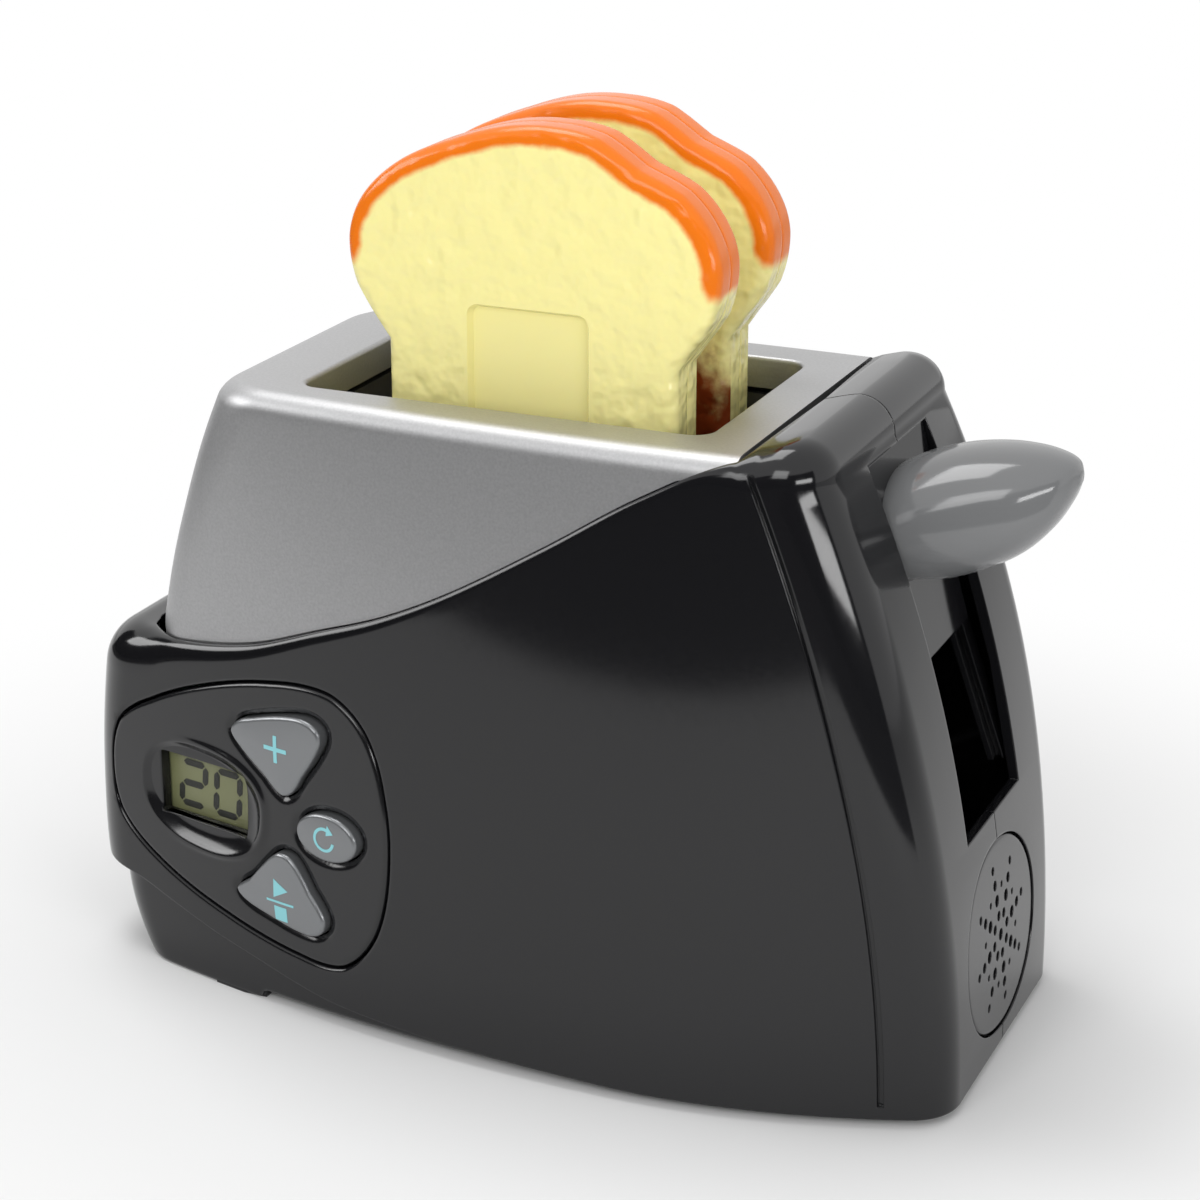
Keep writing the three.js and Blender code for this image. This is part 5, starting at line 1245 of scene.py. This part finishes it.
class TOASTER_OT_knob(bpy.types.Operator):
    """Mould the spoon-shaped lever knob"""
    bl_idname = "toaster.knob"
    bl_label = "Lever knob"

    def execute(self, context):
        s = context.scene.toaster_sizes
        low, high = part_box("lever_knob")
        tip, base = high.x - SHIFT, low.x - SHIFT
        buried, sides = mm(3), 96
        root = base - buried
        rings = []
        for t in spread(0, 1, 60):
            x = root + (tip - root) * (1 - (1 - t) ** 1.6)
            share = (x - root) / (tip - root)
            top, under = mm(table_value(KNOB, share, 1)), mm(table_value(KNOB, share, 2))
            width = s.knob_half_width * table_value(KNOB, share, 3)
            fuller = 1.0 - 0.12 * min(t * 2, 1)
            ring = ellipse(0, (top + under) / 2, width, (top - under) / 2, 0, sides, fuller)
            rings.append([(x, y, z) for y, z in ring])
        bm = formed_grid(len(rings) - 1, sides, lambda r, c: rings[r][c % sides])
        knob = new_piece("lever_knob_spoon", bm)
        # The root is cut off along the line that the lever slides on
        lean, face_step, face_z = radians(19.7), mm(7.4), mm(121.5)
        below, length_cut, behind, half_width = mm(20), mm(80), Vector((-mm(60), 0, 0)), mm(40)
        slide = Vector((-sin(lean), 0, cos(lean)))
        start = Vector((base + face_step, 0, face_z)) - slide * below
        end = start + slide * length_cut
        corners = [start, end, end + behind, start + behind]
        carve(knob, side_prism([(p.x, p.z) for p in corners], -half_width, half_width))
        settle(smooth(knob, 40), "lever", "grey_lever", stored("knob"), "lever_knob")
        return {"FINISHED"}


# Bread

CALM = mm(-13), mm(20.5), mm(183.5)  # left, right and top of the smooth field round a slice's pocket


def is_calm(x, z):
    left, right, top = CALM
    return left < x < right and z < top


def bread_outline():
    """Side outline of a slice, in x and z: a curved head over a straight body, with a crisp neck."""
    middle, half, neck, rise = mm(3.9), mm(48), mm(172.5), mm(53)
    body, bottom, corner, below_neck = mm(37.6), mm(121), mm(4), mm(1.5)
    head = through([(middle + u * half, neck + v * rise) for u, v in BREAD_CAP], 230, closed=False)
    top, right, left = neck - below_neck, middle + body, middle - body
    turn = quarter_round(corner, 5)[1:]
    low = [(right, z) for z in spread(top, bottom + corner, 24)]
    low += [(right - inset, bottom + (corner - rise)) for inset, rise in turn]
    low += [(x, bottom) for x in spread(right - corner, left + corner, 30)[1:]]
    low += [(left + (corner - rise), bottom + inset) for inset, rise in turn]
    low += [(left, z) for z in spread(bottom + corner, top, 24)[1:]]
    return head + low


def paint_marks(piece, outline, near_y, far_y, gap_shade_y):
    """Stores how much crust paint, and how much brown painted shade for the gap between the slices, each
    point of a slice gets.
    """
    paint_low, paint_fade, paint_reach, side_share = mm(184), mm(10), mm(5.5), 0.5
    gap_shade_depth, gap_shade_x, gap_shade_z, gap_shade_wide, gap_shade_high = mm(2.5), mm(24), mm(140), mm(30), mm(36)
    calm_depth = mm(2.4)
    crust, gap_shade, smooth_part = (piece.data.attributes.new(name, "FLOAT", "POINT").data
                                 for name in ("crust", "gap_shade", "smooth_part"))
    tree = kdtree.KDTree(len(outline))
    for i, (x, z) in enumerate(outline):
        tree.insert((x, 0, z), i)
    tree.balance()
    for i, vert in enumerate(piece.data.vertices):
        x, z = vert.co.x - SHIFT, vert.co.z
        nearest, _, distance = tree.find((x, 0, z))
        side = min(abs(vert.co.y - near_y), abs(vert.co.y - far_y))
        strength = min(max((nearest.z - paint_low) / paint_fade, 0), 1)
        reach = 1.3 - max(distance - side * side_share, 0) / paint_reach
        crust[i].value = strength * min(max(reach, 0), 1)
        # Brown painted shade on the face that looks into the gap between the slices
        if abs(vert.co.y - gap_shade_y) < gap_shade_depth:
            spot = 1 - hypot((x - gap_shade_x) / gap_shade_wide, (z - gap_shade_z) / gap_shade_high)
            gap_shade[i].value = min(max(spot * 1.8 + 0.25, 0), 1)
        smooth_part[i].value = 1.0 if is_calm(x, z) and abs(vert.co.y - near_y) < calm_depth else 0.0


class TOASTER_OT_bread(bpy.types.Operator):
    """Mould two slices of play bread, each of two halves, and airbrush their crusts"""
    bl_idname = "toaster.bread"
    bl_label = "Play bread"

    def execute(self, context):
        thick = context.scene.toaster_sizes.slice_thickness
        outline = bread_outline()
        front_near, rear_near = -mm(25), mm(9)
        for body, near in (("front_bread", front_near), ("rear_bread", rear_near)):
            far = near + thick
            for part, face, way in (("near_half", near, 1), ("far_half", far, -1)):
                half = self.half_shell(f"{body}_{part}_vinyl", outline, near + thick / 2, face, way)
                if way > 0:
                    self.press_pocket(half, near)
                # The brown painted shade goes on the rear slice's near face and the front slice's far face,
                # which look into the gap
                paint_marks(half, outline, near, far, near if body == "rear_bread" else far)
                settle(smooth(half, 50), body, "bread_yellow", stored("bread"), f"{body}_{part}")
        return {"FINISHED"}

    def half_shell(self, name, outline, middle, face, way):
        """One half of a slice, from its seam in the middle to its crumbly face."""
        seam_gap, seam_edge, radius = mm(0.08), mm(0.3), mm(3.2)
        wall_steps = mm(6.3), mm(5), radius
        face_depth, crumb = mm(0.5), mm(0.32)
        coarse, fine, fine_share, deepest = 150, 330, 0.6, -0.25
        seam = middle - way * seam_gap
        rows = [(0, share, seam) for share in (0, 0.5, 0.985)]
        rows += [(seam_edge - rise, 1, seam - way * inset) for inset, rise in quarter_round(seam_edge, 3)]
        rows += [(0, 1, face + way * depth) for depth in wall_steps]
        rows += [(inset, 1, face + way * (radius - rise)) for inset, rise in quarter_round(radius, 9)[1:]]
        rows += [(radius, share, face) for share in spread(0.985, 0.85, 11) + spread(0.83, 0, 40)]

        def place(x, z, y):
            """Raises the soft lumps of the moulded crumb, except round the pocket."""
            if abs(y - face) > face_depth or (way > 0 and is_calm(x, z)):
                return x, y, z
            spot = Vector((x, y, z))
            lump = noise.noise(spot * coarse) + fine_share * noise.noise(spot * fine)
            return x, y + way * max(lump, deepest) * crumb, z

        return new_piece(name, crowned(outline, rows, place))

    def press_pocket(self, half, near):
        """Presses the shallow, rounded rectangle into a slice's near face."""
        left, right, low, high, corner = mm(-11.1), mm(18.7), mm(110), mm(181.4), mm(2)
        depth, chamfer_from, chamfer, before = mm(1.8), mm(0.2), mm(1), mm(3)
        rows = [(0, 0, near - before), (-before, 1, near - before), (-chamfer, 1, near - chamfer_from),
                (0, 1, near + depth), (0, 0, near + depth)]
        walls = through_corners(rectangle(left, right, low, high), corner)
        carve(half, crowned(walls, rows, lambda x, z, y: (x, y, z)))


# Base and works

# Each node with its body, its colour slot and its finish
INNER = [
    ("lower_base", "housing", "black_shell", "black"),
    ("toast_chamber", "housing", "dark_chamber", "dark"),
    ("button_pad", "housing", "pad_rubber", "rubber"),
    ("timer_board", "housing", "board_green", "board"),
    ("speaker", "housing", "speaker_dark", "cone"),
    ("front_lever_rail", "housing", "black_shell", "panel"),
    ("rear_lever_rail", "housing", "black_shell", "panel"),
    ("guide_rod", "housing", "pin_steel", "steel"),
    ("return_spring", "housing", "pin_steel", "steel"),
    ("latch_pin", "housing", "pin_steel", "steel"),
    ("latch_magnet", "housing", "coil_copper", "coil"),
    ("battery_1", "housing", "battery_jacket", "cell"),
    ("battery_2", "housing", "battery_jacket", "cell"),
    ("contact_spring_plate", "housing", "pin_steel", "steel"),
    ("contact_plate", "housing", "pin_steel", "steel"),
    ("battery_door", "housing", "black_shell", "black"),
    ("battery_door_screw", "housing", "screw_steel", "zinc"),
    ("lever_slider", "lever", "black_shell", "black"),
    ("lever_pin", "lever", "pin_steel", "steel"),
    ("bread_carriage", "carriage", "black_shell", "dark"),
    ("latch_hook", "latch", "dark_chamber", "dark"),
]
for group in ("casing_screw_", "base_screw_"):
    INNER += [(f"{group}{number}", "housing", "screw_steel", "zinc") for number in (1, 2, 3, 4)]


class TOASTER_OT_skirt(bpy.types.Operator):
    """Mould the base's skirt, which fills the casing's swept edge and stands on the left feet"""
    bl_idname = "toaster.skirt"
    bl_label = "Base skirt"

    def execute(self, context):
        form = HousingForm(context.scene.toaster_sizes)
        deep, edge, end_x, seam = mm(3.6), mm(1.2), mm(24), mm(0.4)
        on_table, lift, lift_start, lift_run, start_z = mm(0.02), mm(2.4), -mm(62), mm(4), mm(10)
        half = []
        for i in range(Plan.count()):
            x = form.skirt(0).point(i)[0]
            if x > end_x:
                break
            low = on_table + lift * ramp(x, lift_start, lift_run)
            high = max(meet(form.skirt, i, form.sweep, start_z) - seam, low + edge * 1.5)
            section = [(z, 0) for z in spread(high, low + edge, 8)]
            section += [(low + (edge - rise), inset) for inset, rise in quarter_round(edge, 5)[1:]]
            section += [(low, deep), ((low + high) / 2, deep), (high, deep)]
            half.append([(*form.skirt(z, inset).point(i), z) for z, inset in section])
        around = [[(x, -y, z) for x, y, z in section] for section in reversed(half[1:])] + half
        rows = len(half[0])
        bm = formed_grid(rows, len(around) - 1, lambda r, c: around[c][r % rows])
        settle(smooth(new_piece("base_skirt", bm)), "housing", "black_shell", stored("black"))
        return {"FINISHED"}


class TOASTER_OT_works(bpy.types.Operator):
    """Finish the base, chamber, mechanism, screws and batteries"""
    bl_idname = "toaster.works"
    bl_label = "Base and works"

    def execute(self, context):
        for name, body, slot, finish in INNER:
            piece = from_node(name + "_finished", name, body, slot, stored(finish), 30)
            if name == "lower_base":
                self.trim_base(piece, HousingForm(context.scene.toaster_sizes))
            elif name == "return_spring":
                self.press_spring(piece, name)
            elif name == "lever_slider":
                self.raise_pad(piece)
        return {"FINISHED"}

    def trim_base(self, piece, form):
        """Keeps the base within the skirt's own outline."""
        below, above, skin = -mm(1), mm(90), mm(0.1)
        carve(piece, plan_block(form.skirt, spread(below, above, 30), skin), "INTERSECT")
        smooth(piece, 30)

    def press_spring(self, piece, name):
        """Gives the spring a mesh of its own."""
        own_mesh(piece)

    def raise_pad(self, piece):
        """Adds the raised pad that fills the slot round the knob."""
        low, high, half_width = mm(104), mm(152.8), mm(20.9)
        foot_back, foot_front, head_back, head_front = mm(97.5), mm(100.9), mm(80), mm(87.2)
        pad = [(head_front, high), (foot_front, low), (foot_back, low), (head_back, high)]
        carve(piece, side_prism(pad, -half_width, half_width), "UNION")
        smooth(piece, 30)


MIDDLE = (0, 0, 0.1)
# Each softbox with its place, what it points at, its size, and the brightness of its face, where one is white
SOFTBOXES = (
    ("key_softbox", (0.0, -1.25, 0.95), MIDDLE, (0.8, 0.55), 4.1),
    ("top_softbox", (-0.35, 0.1, 1.15), MIDDLE, (0.6, 0.5), 5.4),
    ("strip_softbox", (0.46, -0.35, 0.24), (0.085, -0.04, 0.13), (0.3, 0.09), 9),
    ("rim_softbox", (-1.0, -0.42, 0.62), MIDDLE, (0.8, 0.36), 6),
)


class TOASTER_OT_stage(bpy.types.Operator):
    """Lay the pale floor, hang the soft lights and set the camera"""
    bl_idname = "toaster.stage"
    bl_label = "Stage"

    def execute(self, context):
        scene = context.scene
        self.lay_floor(scene)
        self.hang_cloth(scene)
        self.light_room(scene)
        self.hang_softboxes(scene)
        self.set_camera(scene)
        scene.view_settings.view_transform = "Standard"
        return {"FINISHED"}

    def stage_sheet(self, scene, name, bm, finish):
        mesh = bpy.data.meshes.new(name)
        bm.to_mesh(mesh)
        bm.free()
        mesh.materials.append(finish)
        made = bpy.data.objects.new(name, mesh)
        scene.collection.objects.link(made)
        return made

    def lay_floor(self, scene):
        """White paper that keeps the toaster's shadow and fades to plain white further out."""
        fade_start, fade_end, radius = 0.14, 0.32, 6
        paper, tree, bsdf = new_finish("white_paper_sweep", colour("#ececec"), 0.9)
        place = node(tree, "ShaderNodeTexCoord")
        away = node(tree, "ShaderNodeVectorMath", {0: place.outputs["Object"]}, operation="LENGTH")
        fade = node(tree, "ShaderNodeMapRange",
                    {"Value": away.outputs["Value"], "From Min": fade_start, "From Max": fade_end},
                    interpolation_type="SMOOTHSTEP")
        path = node(tree, "ShaderNodeLightPath")
        part = node(tree, "ShaderNodeMath", {0: fade.outputs[0], 1: path.outputs["Is Camera Ray"]},
                    operation="MULTIPLY")
        white = node(tree, "ShaderNodeEmission", {"Color": (1, 1, 1, 1), "Strength": 1})
        mixed = node(tree, "ShaderNodeMixShader",
                     {0: part.outputs[0], 1: bsdf.outputs[0], 2: white.outputs[0]})
        end = next(n for n in tree.nodes if n.type == "OUTPUT_MATERIAL")
        tree.links.new(mixed.outputs[0], end.inputs["Surface"])
        bm = bmesh.new()
        bmesh.ops.create_circle(bm, cap_ends=True, segments=96, radius=radius)
        self.stage_sheet(scene, "paper_floor", bm, paper)

    def hang_cloth(self, scene):
        """Black cloth round the front, seen only by the gloss: it gives the dark plastic its depth."""
        near, far, lift, high, centre = 0.55, 2.4, 0.004, 1.5, (-0.15, 0.05, 0)
        start, sweep = radians(-200), radians(185)
        molton = new_finish("black_molton", colour("#1c1c1c"), 1.0)[0]
        bm = bmesh.new()
        rim = [bm.verts.new(p) for p in ((near, 0, lift), (far, 0, lift), (far, 0, high))]
        edges = [bm.edges.new(pair) for pair in zip(rim, rim[1:])]
        bmesh.ops.rotate(bm, verts=rim, matrix=Matrix.Rotation(start, 3, "Z"))
        bmesh.ops.translate(bm, verts=rim, vec=centre)
        bmesh.ops.spin(bm, geom=rim + edges, cent=centre, axis=(0, 0, 1), angle=sweep, steps=64)
        drape = self.stage_sheet(scene, "dark_studio", bm, molton)
        for ray in ("camera", "diffuse", "transmission", "volume_scatter", "shadow"):
            setattr(drape, "visible_" + ray, False)

    def light_room(self, scene):
        """A room that looks white and lights a little less strongly than it looks."""
        world = bpy.data.worlds.new("white_studio")
        scene.world = world
        world.use_nodes = True
        tree = world.node_tree
        tree.nodes.clear()
        path = node(tree, "ShaderNodeLightPath")
        seen = node(tree, "ShaderNodeMath",
                    {0: path.outputs["Is Camera Ray"], 1: path.outputs["Is Glossy Ray"]}, operation="MAXIMUM")
        shown = node(tree, "ShaderNodeMath", {0: seen.outputs[0], 1: path.outputs["Is Transmission Ray"]},
                     operation="MAXIMUM")
        room_light, seen_white = 0.62, 1.0
        strength = node(tree, "ShaderNodeMapRange",
                        {"Value": shown.outputs[0], "To Min": room_light, "To Max": seen_white})
        sky = node(tree, "ShaderNodeBackground", {"Color": (1, 1, 1, 1), "Strength": strength.outputs[0]})
        node(tree, "ShaderNodeOutputWorld", {"Surface": sky.outputs[0]})

    def hang_softboxes(self, scene):
        """Two broad softboxes, a strip for the knob, and one that only the gloss of the rim mirrors."""
        for name, place, aim, size, brightness in SOFTBOXES:
            lamp = bpy.data.lights.new(name, "AREA")
            lamp.shape = "RECTANGLE"
            lamp.size, lamp.size_y = size
            lamp.energy = brightness * pi * size[0] * size[1]
            made = bpy.data.objects.new(name, lamp)
            scene.collection.objects.link(made)
            made.location = place
            made.rotation_euler = (Vector(aim) - Vector(place)).to_track_quat("-Z", "Y").to_euler()
            made.visible_diffuse = name != "rim_softbox"

    def set_camera(self, scene):
        focal, film_width, down, turned = 89.10, 36, 20.25, 23.62
        right, before, above = mm(290.97), mm(638.85), mm(359.65)
        lens = bpy.data.cameras.new("camera")
        lens.lens = focal
        lens.sensor_width = film_width
        camera = bpy.data.objects.new("camera", lens)
        scene.collection.objects.link(camera)
        camera.location = (right + SHIFT, -before, above)
        camera.rotation_euler = (radians(90 - down), 0, radians(turned))
        scene.camera = camera


class TOASTER_PT_panel(bpy.types.Panel):
    """Lists the toaster's sizes, colours and build steps"""
    bl_idname = "TOASTER_PT_panel"
    bl_label = "Play Toaster"
    bl_space_type = "VIEW_3D"
    bl_region_type = "UI"
    bl_category = "Toaster"

    def draw(self, context):
        layout = self.layout
        for step in STEPS:
            layout.operator(step.bl_idname)
        for group in (context.scene.toaster_sizes, context.scene.toaster_colours):
            box = layout.box()
            for name in group.bl_rna.properties.keys():
                if name not in {"rna_type", "name"}:
                    box.prop(group, name)


STEPS = (TOASTER_OT_stage, TOASTER_OT_finishes, TOASTER_OT_casings, TOASTER_OT_upper_shell, TOASTER_OT_panel,
         TOASTER_OT_keys, TOASTER_OT_grille, TOASTER_OT_knob, TOASTER_OT_bread, TOASTER_OT_display,
         TOASTER_OT_skirt, TOASTER_OT_works)
CLASSES = (ToasterSizes, ToasterColours, *STEPS, TOASTER_PT_panel)


def register():
    for cls in CLASSES:
        bpy.utils.register_class(cls)
    bpy.types.Scene.toaster_sizes = bpy.props.PointerProperty(type=ToasterSizes)
    bpy.types.Scene.toaster_colours = bpy.props.PointerProperty(type=ToasterColours)


def unregister():
    del bpy.types.Scene.toaster_colours
    del bpy.types.Scene.toaster_sizes
    for cls in reversed(CLASSES):
        bpy.utils.unregister_class(cls)


def main():
    register()
    for step in STEPS:
        group, name = step.bl_idname.split(".")
        getattr(getattr(bpy.ops, group), name)()


if __name__ == "__main__":
    main()
